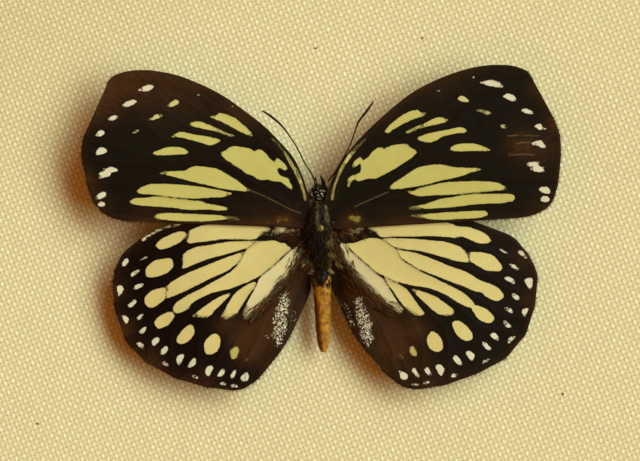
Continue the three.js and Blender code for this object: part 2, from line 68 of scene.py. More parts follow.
LEFT_FOREWING = {
    "edge": [
        (311, 204), (307, 192), (304, 180), (300, 170), (295, 160), (287.5, 150), (278, 140),
        (268.5, 130), (257, 120), (243, 110), (230, 100), (213, 90), (198, 83), (180, 76),
        (160, 71.5), (145, 70), (130, 70.8), (120, 73.2), (112, 77), (108, 82.5), (106, 88),
        (104.5, 95), (103, 99.5), (99, 107), (96, 115), (94, 119), (90, 125), (86, 133),
        (84, 137), (82.3, 145), (82, 155), (83, 163), (84.5, 169), (86, 175), (87, 182),
        (89, 190), (91, 195), (94, 203), (97, 206.5), (104, 213.5), (113, 218), (124, 221),
        (150, 221.9), (170, 223), (200, 222), (230, 222.5), (250, 223.5), (270, 224),
        (290, 225), (310, 227),
    ],
    "veins": [
        [(303, 202), (297, 183), (288, 166), (276, 152), (262, 142), (252, 131), (243, 122),
         (233, 113.5), (222, 108.5), (205, 100), (185, 90.5), (160, 82), (130, 79)],
        [(262, 142), (252, 139), (242, 135), (232, 130.5), (222, 125.8), (212, 121), (200, 112),
         (182, 99), (160, 94.5), (135, 95), (107, 91)],
        [(262, 142), (240, 141), (228, 138), (216, 134.5), (205, 132), (192, 129.5), (180, 122),
         (168, 112.5), (152, 109.5), (125, 111), (101, 106)],
        [(240, 141), (225, 147.5), (212, 147.5), (200, 145.5), (188, 143), (175, 141.5),
         (160, 137), (148, 126.5), (135, 124.5), (115, 126), (91, 124.5)],
        [(225, 147.5), (221, 153), (220, 157), (205, 158.5), (190, 159.5), (170, 160.5),
         (140, 154), (115, 144.5), (84, 142)],
        [(303, 216), (290, 207), (275, 196), (262, 187), (250, 180), (240, 173.5), (230, 166.5),
         (220, 161), (205, 161.5), (185, 163), (160, 163.5), (130, 162), (100, 161), (84, 162)],
        [(262, 187), (252, 191.8), (240, 191.8), (225, 190.3), (210, 187.2), (195, 184.3),
         (180, 181.8), (165, 180), (140, 180.5), (115, 183), (88, 185)],
        [(275, 196), (262, 197), (245, 197), (230, 199.5), (215, 201), (200, 199.8),
         (185, 199.3), (170, 197.4), (155, 195.8), (140, 196.2), (115, 200), (95, 201)],
        [(305, 219), (285, 213), (265, 211.5), (240, 212.5), (215, 212.6), (190, 211.5),
         (165, 210), (140, 209), (115, 210.5), (101, 211)],
    ],
    "cream": [
        [(210.5, 116.7), (217, 115.2), (219, 113.3), (224, 113.8), (230, 116), (236, 119),
         (245, 126.5), (249, 130.5), (253, 134.5), (252, 135.8), (247, 134.5), (240, 131.5),
         (232, 127), (224, 122.8), (216, 119.5)],
        [(188.5, 124.3), (193, 122.3), (198, 121.5), (203, 122.5), (216, 128), (229, 134),
         (234, 135.5), (231, 136.3), (225, 134.5), (218, 131.8), (208, 129.7), (198, 127.5)],
        [(172, 136.8), (175, 134.5), (179, 132.3), (184, 132.3), (190, 133.8), (198, 135.2),
         (208, 136.8), (219, 139.5), (221, 140.5), (218, 142.3), (214, 144.3), (209, 145),
         (203, 143.3), (194, 140.8), (186, 138.3), (178, 137.2)],
        [(153, 153.3), (156, 151.5), (161, 149.5), (167, 147.8), (174, 147.2), (180, 147.5),
         (185, 149), (188.5, 152), (186.5, 154), (180, 154.3), (172, 154.9), (164, 155.2),
         (157, 155)],
        [(221, 152.8), (226, 150.5), (229, 148), (235, 146.3), (242, 147.2), (250, 148.8),
         (255, 151.2), (257, 150), (261, 150), (265, 152.5), (268, 156), (271, 159.8),
         (275.5, 162.3), (276, 158.2), (279, 159.2), (282, 161.5), (285, 164.5), (287.3, 168),
         (285.5, 170.3), (280, 168), (277.8, 167.8), (277.6, 171), (280, 175), (285, 177.5),
         (288.5, 178.5), (289.5, 182), (292, 186.5), (291.5, 189.5), (288, 187), (284, 184),
         (281, 181.8), (273, 181), (268, 179.5), (262, 180), (257, 178.5), (253, 175.5),
         (248, 174.3), (244, 171.5), (240, 168.5), (235, 165.5), (230, 162), (226, 159.5),
         (223, 156.5)],
        [(160, 173.3), (165, 172), (172, 171.5), (180, 171), (186, 170.5), (190, 168),
         (195, 166.5), (201, 166.5), (210, 167.5), (217, 169), (222, 171.5), (228, 174.8),
         (233, 178), (240, 182.5), (245, 187), (249.5, 190.3), (245, 191.2), (237, 190.5),
         (222, 188.5), (205, 184.5), (190, 181), (175, 177), (167, 175.2)],
        [(137, 191.5), (140, 188.5), (145, 186), (150, 184.5), (157, 184), (174, 184.5),
         (194, 186), (213, 189), (229, 192.5), (232, 193.3), (228, 195.3), (223, 196.8),
         (212, 197.3), (200, 198.3), (188, 198.1), (176, 197), (160, 195.5), (150, 194.3),
         (142, 193.8)],
        [(130, 202), (132.5, 199.5), (137, 198.3), (145, 198), (152, 197), (160, 196.8),
         (176, 198.8), (192, 200.5), (201, 201.3), (207, 203.5), (220, 206), (228.3, 208.7),
         (226, 210.3), (206, 209.5), (184, 209.3), (174, 207.8), (162, 206.8), (150, 206),
         (134, 204.5)],
        [(154.5, 216.5), (158, 214.3), (164, 213.2), (174, 213.2), (196, 214.2), (216, 215.3),
         (228, 216.8), (240, 219.5), (230, 219.5), (220, 220), (204, 221.3), (184, 221),
         (165, 219.8), (158, 218.7)],
        [(306, 199), (304.5, 190), (301.5, 180), (297, 170), (291.5, 161.5), (285, 151.5),
         (278, 143), (271, 138), (276, 143.5), (283, 152), (289, 162.5), (294, 171),
         (298.5, 181), (302.5, 192), (305, 201)],
    ],
    "white": [
        [(138.5, 90.3), (142, 88), (146, 85.5), (151, 85), (154, 86.5), (152, 89), (147, 91),
         (142, 91)],
        [(122.5, 106), (125, 103), (129, 100.8), (134, 100), (137, 101), (135, 103.5),
         (130, 106), (126, 107)],
        [(108, 119.7), (110, 117.5), (113, 116), (116.5, 115.8), (118.3, 117.3), (115.5, 119.5),
         (111.5, 121)],
        [(96, 135.5), (98, 132.5), (101, 130.3), (104, 130.8), (105, 133), (103, 135.5),
         (99.5, 136.5)],
        [(96.5, 154.5), (97.5, 150.5), (100, 147.8), (103, 147.3), (108, 150.5), (106, 152.5),
         (102, 154.3), (98, 155)],
        [(103, 168.2), (106, 169), (110, 167.2), (115, 168.2), (119, 170.3), (115, 172),
         (111, 173), (110.5, 175.5), (107, 177), (99, 178.3), (101.5, 176.3), (98.5, 174.5),
         (101, 172.5), (105, 171), (103.5, 169.5)],
        [(95.5, 198.8), (97, 196), (100, 193.5), (104, 192), (106.3, 193.5), (106, 196),
         (103, 198), (99, 199.5)],
        [(98, 204.5), (99.5, 202.3), (102.5, 201.7), (105, 203.5), (105, 206), (102, 206.5),
         (99, 206)],
        [(197.5, 94.8), (198.8, 93.9), (200, 94.4), (199, 95.4)],
        [(231.6, 106.7), (232.5, 105.8), (233.4, 106.7), (232.5, 107.6)],
    ],
    "pale": [
        [(167, 106), (170, 103.5), (173, 101), (175.5, 99.8), (179, 101.5), (178, 104),
         (174, 106), (170, 106.8)],
        [(149.5, 119.7), (152.5, 117.5), (156, 115), (159, 114.3), (163, 116), (160, 117.3),
         (156, 119.3), (152, 120)],
        [(133, 133.2), (135.5, 131), (139, 130.2), (138, 132), (135, 133)],
    ],
    "blurred": [
        (238, 219, 16, 5, 1.5), (156, 217, 8, 2, 0), (274, 141, 20, 1.6, 0.4),
        (228, 174, 8, 1, 0), (254, 176, 14, 1, 0),
    ],
    "gold": [(279, 219.5, 4, 0.8), (287, 218.5, 3.5, 0.7), (270, 222, 5, 0.35), (299, 204, 3, 0.3)],
    # Patches where the black of this wing carries painted sheen.
    "painted_sheen": [(175, 125, 70, 0.6), (120, 160, 40, 0.3)],
    # The pale line near the root runs along a vein and is a painted highlight on its ridge.
    "wear_and_highlight": [
        [(249, 190), (262, 195), (280, 204), (292, 210), (300, 213)],
    ],
}

RIGHT_FOREWING = {
    "edge": [
        (323, 204), (327, 193), (331.5, 181), (337, 169), (344.5, 157), (354, 145), (365, 133),
        (380, 118.7), (396, 104.8), (412, 92.7), (428, 83.7), (445, 76.2), (465, 69.5),
        (485, 65.5), (505, 65), (515, 66.3), (522, 68.7), (527, 71), (530.5, 75.5), (533, 81.5),
        (535, 87), (537.5, 93.5), (540, 99), (544, 104.7), (548, 110), (551.5, 114.7),
        (554, 119), (555.8, 125), (558, 130), (559.7, 136), (560, 142), (559.8, 147),
        (560.7, 154), (559.8, 161), (558.8, 168), (558.7, 175), (558, 183), (555.8, 191),
        (553.5, 199), (549.5, 205.5), (543, 210.7), (534, 214.8), (524, 217.2), (500, 219.2),
        (465, 220.6), (445, 220.4), (425, 221), (385, 223.6), (355, 226), (326, 228),
    ],
    "veins": [
        [(334, 200), (340, 182), (349, 166), (360, 153), (373, 142), (382, 129), (392, 118),
         (404, 109), (420, 99), (440, 87), (465, 77), (500, 72)],
        [(373, 142), (384, 137), (396, 131.5), (406, 127), (416, 122.5), (426, 118), (436, 113),
         (450, 104), (465, 93), (485, 90), (510, 89.5), (535, 88)],
        [(373, 142), (395, 141), (405, 137.5), (416, 133.3), (428, 129.8), (440, 127.5),
         (452, 124), (465, 115), (475, 105.5), (495, 103.5), (518, 105.5), (542, 103)],
        [(395, 141), (412, 145.5), (425, 145.5), (437, 143.5), (450, 140.5), (463, 137.5),
         (478, 131), (492, 120.5), (505, 119), (525, 119), (551, 116)],
        [(412, 145.5), (418, 150), (420, 155), (435, 154.5), (455, 154.5), (480, 153),
         (500, 143), (520, 136.5), (540, 135), (558, 134)],
        [(336, 216), (350, 207), (364, 197), (378, 187), (390, 178.5), (399, 172), (409, 165.5),
         (418, 159.5), (430, 158.5), (455, 158.5), (490, 157), (520, 154.5), (559, 153)],
        [(378, 187), (390, 190.3), (405, 189.6), (418, 187.6), (430, 184.8), (442, 182),
         (458, 179.3), (475, 177), (500, 176.5), (530, 178.5), (557, 178)],
        [(364, 197), (385, 197.5), (405, 199), (420, 199.5), (434, 198.2), (448, 196.2),
         (462, 194.3), (480, 192.7), (500, 192), (520, 193.5), (553, 195)],
        [(336, 220), (355, 214), (380, 212.5), (405, 212), (425, 211), (445, 210), (465, 208.8),
         (485, 207.3), (510, 206), (545, 208)],
    ],
    "cream": [
        [(385, 132), (386, 130), (390.5, 124.5), (398, 118.5), (406, 113.3), (414, 110.3),
         (417, 110), (419, 111), (421, 112.8), (424, 112.7), (427, 113.2), (425, 115),
         (416, 118.2), (405, 123), (395, 128.3), (388, 133), (386, 133)],
        [(406, 132.5), (408, 131), (416, 127), (426, 122.8), (434, 118.5), (438, 117.5),
         (442, 117.5), (445, 119), (449, 120.2), (446, 121.8), (437, 124.3), (426, 126.7),
         (420, 128.3), (414, 130.8), (409, 133)],
        [(417, 138.3), (420, 136.5), (430, 133.2), (442, 131), (454, 128.3), (458, 127.6),
         (462, 127.8), (465, 129), (466.5, 131.3), (464.5, 132.8), (459, 133), (453, 134),
         (446, 135.5), (441, 137.5), (437, 139.8), (433, 141.5), (429, 142.5), (424, 141.8),
         (420, 140.5)],
        [(450, 149.7), (451.5, 147.2), (455, 145), (460, 144), (466, 143.6), (472, 143.8),
         (477, 144.5), (482, 146.3), (490, 150), (486, 151), (470, 151), (454, 151)],
        [(347.5, 186.5), (348, 183), (347.8, 180), (349, 178), (352, 175.7), (354.5, 175),
         (355.5, 177), (356, 175), (358, 173.5), (360, 172.5), (361, 170), (361, 166),
         (360.5, 163.5), (357, 165.5), (354, 167.5), (352.5, 166.5), (353, 164), (355, 161),
         (358, 158.5), (361, 157), (362, 159.5), (364, 160.3), (366.5, 158.3), (369, 156.5),
         (371, 153.5), (373.5, 151), (376, 148.7), (378.5, 147.3), (380, 148.3), (382, 147.5),
         (383, 149.5), (386, 148), (389, 146.5), (393, 145.3), (397, 144.7), (405, 144),
         (408, 145), (410, 147.5), (415, 150), (416.8, 152.2), (415, 154), (413, 156.5),
         (409, 159.5), (402, 164), (394, 169), (385, 174), (375, 178.5), (370, 178.3),
         (365, 179.3), (361, 180.5), (358, 181), (356, 179.7), (353, 179.8), (351, 182),
         (350, 185), (348.5, 187)],
        [(390, 187.5), (393.5, 183.3), (401, 178.5), (409, 173), (417, 168), (421, 166.8),
         (432, 165), (438, 164.3), (446, 165.7), (456, 167.5), (470, 168), (476, 168.2),
         (480.5, 169.5), (477, 170.8), (470, 172.5), (464, 175), (458, 176.8), (442, 180.3),
         (426, 184.5), (418, 186.3), (410, 187.5), (395, 189), (391, 189)],
        [(407.5, 191.5), (410, 191), (414, 191), (417, 189), (421, 187.8), (433, 184.8),
         (447, 182.3), (455, 181.8), (473, 181.3), (490, 181.8), (500, 183.8), (503, 186),
         (506.5, 188.5), (504, 189.5), (490, 191.3), (470, 193), (452, 194.5), (435, 195.2),
         (420, 196), (415, 195.3), (411, 193.8)],
        [(410, 208.5), (415, 205.8), (426, 204), (434, 201), (441, 199), (452, 197.5),
         (461, 195.3), (476, 194.3), (496, 194), (511, 194.3), (514, 196), (514.3, 198.5),
         (513, 200.5), (508, 201.5), (504, 202.8), (490, 203.3), (472, 204.5), (463, 205.8),
         (450, 207.2), (435, 208), (416, 209)],
        [(412, 215.5), (420, 214.3), (433, 213.5), (448, 212.3), (465, 211.5), (480, 210.8),
         (485, 211), (487.5, 213), (488, 214.3), (485, 216.3), (479, 217.8), (460, 219),
         (436, 219.5), (422, 217.8)],
        [(331.5, 200), (332.5, 190), (336.5, 178), (341.5, 166), (349, 154), (362, 141),
         (366, 138.5), (356.5, 150), (347, 162.5), (342, 171), (337.5, 181), (334.5, 191),
         (333, 200)],
    ],
    "white": [
        [(480, 82.5), (484, 81.5), (488, 80.3), (493, 80), (497, 81.3), (500, 82.2),
         (500.5, 84), (504, 86.3), (502, 87.3), (497, 87), (491, 86.3), (486, 85), (483, 83.7)],
        [(503, 96.5), (506, 94.5), (510, 94.2), (513, 95.5), (515, 97.5), (516, 99.5),
         (514, 101), (511, 101), (507, 98.8)],
        [(521.5, 110.5), (523, 109), (526, 108.8), (529, 109.8), (533.5, 113.2), (531.5, 114),
         (527, 113.3), (523, 112.5)],
        [(534.5, 126.5), (537, 124.5), (540, 124), (541.5, 126), (543, 128), (547, 129),
         (543, 129.8), (540, 130), (537, 128.5)],
        [(531.5, 144), (534, 142), (538, 141), (541, 141), (545, 146), (545.5, 147.5),
         (542, 148), (538.5, 146.5), (534.5, 145.3)],
        [(525.5, 164.3), (528, 162.5), (532, 162), (536, 161.5), (539, 162), (537, 164.5),
         (539, 166), (544, 167.5), (543, 169), (544, 172), (539, 172), (533, 171), (530, 169.3),
         (532, 168), (533, 166.5), (530, 166), (527, 165.5)],
        [(539, 189.5), (540.5, 187.5), (544, 187), (547, 187.5), (549.5, 190), (550, 192.5),
         (548, 193.8), (544, 193), (540, 191.2)],
        [(540, 199), (541.5, 197), (544, 196), (547, 196.5), (549.5, 199), (548.5, 201),
         (545.5, 202), (542, 201.2)],
        [(472.8, 77.5), (473.8, 76.5), (474.8, 77.5), (473.8, 78.5)],
    ],
    "pale": [
        [(458, 98.5), (459, 96.5), (462, 96), (465, 97), (467.5, 99), (469, 101),
         (467.5, 102), (463, 101.8), (460, 100.8)],
        [(476.5, 110.5), (479, 109.3), (482, 110), (486, 111), (490, 112.5), (491, 114.2),
         (489.5, 115.4), (486, 114), (482, 112.3), (478, 111.3)],
        [(500, 125.5), (502, 124.8), (505, 125.5), (506.3, 128), (504.5, 128.5),
         (501.5, 127.3)],
        [(437, 91), (438.5, 90.4), (440, 91), (438.5, 91.6)],
    ],
    "blurred": [
        (412, 216, 16, 5, 1.5), (363, 141, 18, 1.6, 0.4), (497, 80, 9, 2, 0.3),
        (412, 208, 6, 2, 0), (392, 186, 5, 1.2, 0), (538, 143, 7, 1.5, 0),
    ],
    "gold": [(357, 219, 4.5, 0.95), (351, 218, 3.5, 0.7), (345, 222, 5, 0.3), (527, 149, 3, 0.4)],
    "wear_and_highlight": [
        [(508, 136), (522, 135.5), (538, 136)], [(509, 155), (522, 154.5), (534, 155)],
        [(516, 143.5), (523, 142.5), (531, 143)], [(388, 192), (372, 199), (356, 206)],
    ],
}

LEFT_HINDWING = {
    "edge": [
        (309, 228), (290, 221), (275, 219), (255, 218), (235, 217.5), (215, 217.5), (200, 218.5),
        (188, 221), (180, 224.3), (172, 224), (166, 225), (160, 227), (155, 229.5), (150, 232.5),
        (145, 235), (140, 238.5), (135, 243.5), (130, 246.5), (126, 249.5), (122, 254),
        (119, 259), (117, 264), (114.5, 268), (112.5, 278), (111.7, 282), (112.8, 293),
        (113, 306), (116, 317), (118.5, 322), (121, 328), (123, 337.5), (127, 345),
        (130, 348), (135, 350.3), (139, 356), (144, 362), (147, 364.2), (156, 367), (162, 370),
        (168, 375), (174, 378.7), (181, 380), (189, 380.7), (193, 381.5), (199, 385.3),
        (205, 387.8), (215, 388.5), (225, 390.3), (235, 391), (243, 389.5), (249, 386),
        (258, 379.7), (265, 371.5), (273, 361.5), (279, 354), (286, 343.5), (294, 329),
        (300, 314.5), (307, 300), (310.5, 291), (311, 280), (309, 262), (308, 245),
    ],
    "veins": [
        [(302, 236), (292, 240), (275, 238.3), (262, 240), (245, 240.3), (225, 240.8),
         (208, 243.3), (194, 245.3), (183, 248), (165, 254.5), (148, 261), (143, 265.5),
         (130, 269), (114, 275)],
        [(262, 240), (252, 246), (244, 250.7), (231, 254.3), (219, 258.2), (208, 262),
         (197, 266.3), (185, 270.8), (172, 278.5), (157, 282), (144, 291), (137, 296),
         (124, 300), (114, 302)],
        [(246, 249.5), (242, 257.5), (236, 265.5), (226, 273), (212, 280.2), (198, 287.2),
         (183, 294.3), (172, 302), (160, 310.5), (150.5, 321), (148.5, 334), (147, 350),
         (146, 362)],
        [(303, 243), (292, 249), (281, 258.5), (270, 268), (258, 278), (250, 282.5),
         (240, 287.5), (228, 291.8), (216, 295.3), (206, 300), (196, 307), (187, 315.5),
         (176, 326), (170.5, 338), (171, 352), (170.5, 375)],
        [(240, 287.5), (231, 296.5), (224, 305), (217, 313), (208, 322), (200, 334),
         (197.5, 350), (199, 366), (200, 384)],
        [(258, 278), (254.5, 287), (250, 294), (243, 306), (237, 318), (229, 332),
         (223.5, 348), (217, 364), (214, 376), (211, 387)],
        [(302, 250), (289, 275), (275, 300), (262, 325), (250, 350), (244, 386)],
        [(305, 258), (299, 290), (288, 320), (275, 345), (262, 370)],
    ],
    "cream": [
        [(188, 235), (189, 231), (192, 229.5), (200, 226), (206, 224.9), (213, 224.4),
         (232, 224.5), (252, 225), (260, 225.2), (266, 226), (270, 228), (268, 231.5),
         (263, 233.5), (257, 238), (252, 239.5), (242, 239.2), (222, 239.2), (214, 240.3),
         (199, 242), (193, 243), (188, 243.2), (186, 241), (187, 238)],
        [(155, 246), (156.5, 243.5), (158.5, 241), (165, 237), (173, 233.3), (180, 231.5),
         (184, 231.5), (186, 233), (187, 236), (185, 238.5), (177, 243.5), (169, 247.3),
         (161, 249.7), (158, 249), (156.5, 247.5)],
        [(258, 241.5), (250, 241.2), (240, 241.3), (230, 241.8), (222, 243), (207, 245.5),
         (194, 247.7), (186, 252), (183, 254.5), (182, 257), (181.5, 260), (182, 264),
         (181, 267), (183, 268.3), (190, 266), (201, 261.5), (212, 257.7), (225, 254.5),
         (238, 250.5), (246, 248), (254, 243.5), (257, 242)],
        [(145, 272), (145.5, 269), (147, 266.5), (151.5, 262.5), (155, 260.3), (163, 258.8),
         (167, 258.3), (171, 259), (173, 261), (173.5, 264), (172.5, 267), (170, 270),
         (166, 273), (156, 277), (150, 277.7), (147, 277), (145, 275)],
        [(243, 252.5), (240, 253), (230, 256.2), (220, 260), (205, 266), (190, 272),
         (181, 276.5), (174, 280.5), (168, 284.5), (166, 286.5), (167, 289), (165, 295),
         (166.5, 298), (169, 297.8), (175, 295.5), (185, 291), (195, 286), (205, 281),
         (215, 276.3), (225, 272), (234, 266), (240, 259), (242, 255)],
        [(144, 300), (144.5, 297.5), (146.5, 295), (152, 290.5), (160, 288.3), (163, 287.5),
         (165.5, 288), (166, 291), (165, 297), (163.5, 300), (158, 304.5), (155, 306.3),
         (151, 308), (148, 307.5), (145.5, 305.5), (144, 303)],
        [(172, 309), (174, 305.5), (177, 302), (186, 296.3), (200, 289.5), (212, 282.5),
         (224, 276), (235, 268), (241.5, 258.5), (246, 250.5), (254, 244), (258, 242),
         (268, 240.7), (273, 240.3), (281, 243), (285, 243.5), (288, 246.5), (291, 248.5),
         (283, 255.5), (272, 266), (260, 275.5), (250, 281), (241, 284.5), (230, 288.8),
         (218, 291.3), (208, 294.5), (199, 298.5), (192, 303), (188, 308), (184, 311),
         (178, 313), (175, 314), (172.5, 312)],
        [(154, 323), (155, 320.5), (157, 318), (163, 314.3), (170, 311.8), (173, 312.3),
         (174, 314.5), (172, 320), (167, 325.5), (160, 328.5), (157.5, 328.7), (155.5, 327.3),
         (154.3, 325)],
        [(192.5, 316.8), (195, 313.8), (202, 308.5), (212, 301.2), (222, 296), (227, 294),
         (230, 293.3), (228.5, 296.5), (221, 304), (213.5, 311.5), (210, 315.5), (206, 317.5),
         (199, 317), (196, 316.8)],
        [(176, 341), (177, 337.5), (179, 334), (186, 327), (190, 325), (193, 327),
         (194, 332.5), (192.5, 336), (190, 339.5), (184, 343.8), (180, 344.3), (177.5, 343.3)],
        [(236, 292.5), (240, 289.3), (245, 286.3), (250, 283.5), (254.5, 282), (256, 283.5),
         (250.5, 292), (244, 302), (239, 310), (236.5, 313.5), (233, 316), (229, 318),
         (225, 318.8), (221.5, 318.5), (221.5, 315.5), (226, 307.5), (231, 299),
         (233.5, 295.5)],
        [(204, 346), (204.5, 343), (206, 340), (210.5, 335.5), (213, 334.5), (216, 334.3),
         (219.5, 338), (220, 341), (219.5, 345), (218, 349), (216, 352), (212.5, 354),
         (209, 354.7), (206, 354.3), (204.5, 351.5)],
    ],
    "whitish": [
        [(300, 243), (292.4, 249.8), (284.2, 256.8), (273.2, 267.2), (261.2, 277), (258.5, 280),
         (257.3, 284), (252.5, 293), (247, 303), (243.5, 311), (243, 317), (247, 319),
         (256, 313), (265, 303), (274, 292), (282, 283), (290, 273), (295.5, 263), (300, 251)],
        [(274, 226), (280, 224.5), (288, 226), (286, 229), (283, 233), (278, 231)],
        [(181, 223.8), (172, 224.6), (166, 226), (160, 228), (150, 233.5), (141, 239.5),
         (142, 241), (151, 235), (161, 230), (168, 227.5), (177, 226)],
    ],
    "olive": [
        [(230, 350), (232, 349), (235, 346.8), (237.5, 347.5), (238.8, 351), (237.5, 356),
         (235, 359.5), (232, 359.5), (230, 356.5)],
        [(245, 359), (247, 358), (248.5, 360), (247, 362), (245, 361.5)],
    ],
    "white": [
        [(121.5, 263), (123, 260.5), (125, 258.5), (127, 258.8), (128, 261), (126.5, 263.5),
         (124, 266), (122.3, 266.8), (121.3, 265)],
        [(139.5, 260.5), (142, 258.8), (145, 257), (147, 256.8), (145, 258.5), (142, 259.8)],
        [(129.8, 275), (131.5, 273), (134, 271.3), (137, 270), (139, 270.3), (137, 272.5),
         (134, 275), (131.5, 277), (130.3, 276.5)],
        [(132.5, 288.5), (134, 286.3), (136.5, 284.7), (140, 284), (142.5, 284), (142, 286),
         (139.5, 287.8), (136, 289.3), (134, 290)],
        [(116, 287), (118, 285.8), (121, 286.5), (122.7, 289), (121.5, 292), (119.5, 295),
         (118, 296.5), (117, 294), (116.3, 290.5)],
        [(127, 305.5), (129, 303.5), (134, 299.8), (135.5, 300.5), (134.8, 303.5),
         (132.5, 306), (130, 307.8), (128, 307.5)],
        [(120.8, 316), (122.5, 316.8), (124, 315.7), (126, 317.5), (127.7, 319), (126.8, 322),
         (125.3, 324.3), (123.5, 322.5), (122.2, 319.5)],
        [(136, 318.5), (138, 316.3), (140, 315), (143, 315), (141.5, 317.5), (139, 319.5),
         (136.5, 320)],
        [(138.2, 332.5), (140, 330.5), (144, 327), (145.3, 328.5), (144.5, 331), (142.5, 333.5),
         (140, 334), (138.5, 333.5)],
        [(136, 344.5), (138, 343), (140.5, 343.3), (142.5, 346), (143, 349), (142, 349.8),
         (139.5, 348), (137, 346)],
        [(151, 342), (152.5, 339.8), (155, 338.3), (157.5, 338), (158.8, 340), (157, 343),
         (154.5, 345.5), (152.5, 346.7), (151.2, 344.5)],
        [(159.3, 353), (161, 350.5), (165, 346.3), (166.8, 348), (166.8, 351), (164.8, 353.8),
         (162, 355), (159.8, 354.5)],
        [(161, 363), (163, 362), (168, 366.3), (166, 367), (163, 365.3)],
        [(175.8, 359), (177.5, 356.5), (180, 355.3), (183, 355), (183.3, 357.5), (181.5, 361),
         (180, 364), (178.3, 365.8), (176.8, 363.5)],
        [(187.3, 367.5), (190.5, 361.5), (193, 358.8), (194.8, 358.5), (195, 365),
         (192.5, 366.3), (190, 367.8), (188.3, 368.2)],
        [(191.2, 377), (193, 375.6), (195, 376.2), (197.5, 378), (197, 379.2), (194, 378.5)],
        [(205, 370.5), (206.5, 368), (209, 366.3), (211.5, 366.5), (212.7, 369), (211, 372.5),
         (209.5, 375.5), (208, 377), (206, 375.5), (205, 373)],
        [(217, 376.5), (218.5, 373.5), (222.5, 369), (224, 370.5), (224, 373.5), (222, 376),
         (219, 377.3)],
        [(230, 378), (231, 374.5), (234.5, 370), (236, 371.5), (235.3, 374.5), (233.5, 377.5),
         (231, 379)],
        [(240.3, 378.5), (242, 376), (244.5, 373.5), (246.5, 373), (248.3, 375.5), (248, 379),
         (246.5, 381.7), (242.5, 381.7), (241, 380.5)],
        [(219.8, 384.5), (221.5, 383), (223.5, 383), (225.8, 385), (225, 386.5),
         (222.5, 385.5)],
        [(230.3, 386.5), (232, 385.3), (235, 385.5), (238, 388), (235.5, 388), (231.5, 387.8)],
    ],
    "blurred": [
        (186, 237, 7, 2.5, 1), (266, 232, 12, 4, 1), (178, 261, 8, 3, 1.5),
        (168, 291, 8, 2.5, 0.6), (173, 312, 5, 1.5, 0.6), (188, 308, 5, 2, 0),
        (202, 318, 9, 3, 0.6), (191, 325, 5, 2, 0), (228, 318, 11, 4.5, 1.5),
        (220, 335, 5, 2, 0), (299, 254, 9, 7, 0.5), (294, 265, 11, 8, 1),
        (285, 279, 13, 10, 1), (276, 291, 13, 10, 1.5), (265, 304, 14, 10, 2),
        (252, 315, 13, 9, 3), (234, 353, 8, 2.5, 0.5), (246, 360, 6, 3, 1.5),
        (281, 229, 10, 3, 0.8), (240, 253, 5, 1, 0),
    ],
    "gold": [(298.5, 227.5, 3.2, 1.0), (292, 234, 6, 0.3), (296, 243, 5, 0.3)],
    "pink": [(277, 231, 6, 0.75), (267, 235, 4, 0.4), (290, 230, 6, 0.6)],
    "wear_and_highlight": [[(284, 232), (291, 230), (298, 231)], [(283, 236), (290, 235), (296, 235)]],
    "silver": [
        [(284, 292), (288, 294), (289, 300), (288, 308), (287.5, 315), (286.5, 322),
         (286, 328), (284, 335), (282.5, 340), (280.5, 345), (277, 347), (276, 343),
         (275, 338), (274, 332), (273.5, 325), (273.5, 318), (274.5, 312), (276.5, 305),
         (278, 300), (280, 296)],
        [(266, 335), (270, 333.5), (273, 336), (271, 339.5), (267, 338.5)],
        [(291, 312), (295, 309), (299, 312), (298, 318), (296, 324), (293, 328),
         (290.5, 325), (290, 318)],
    ],
}

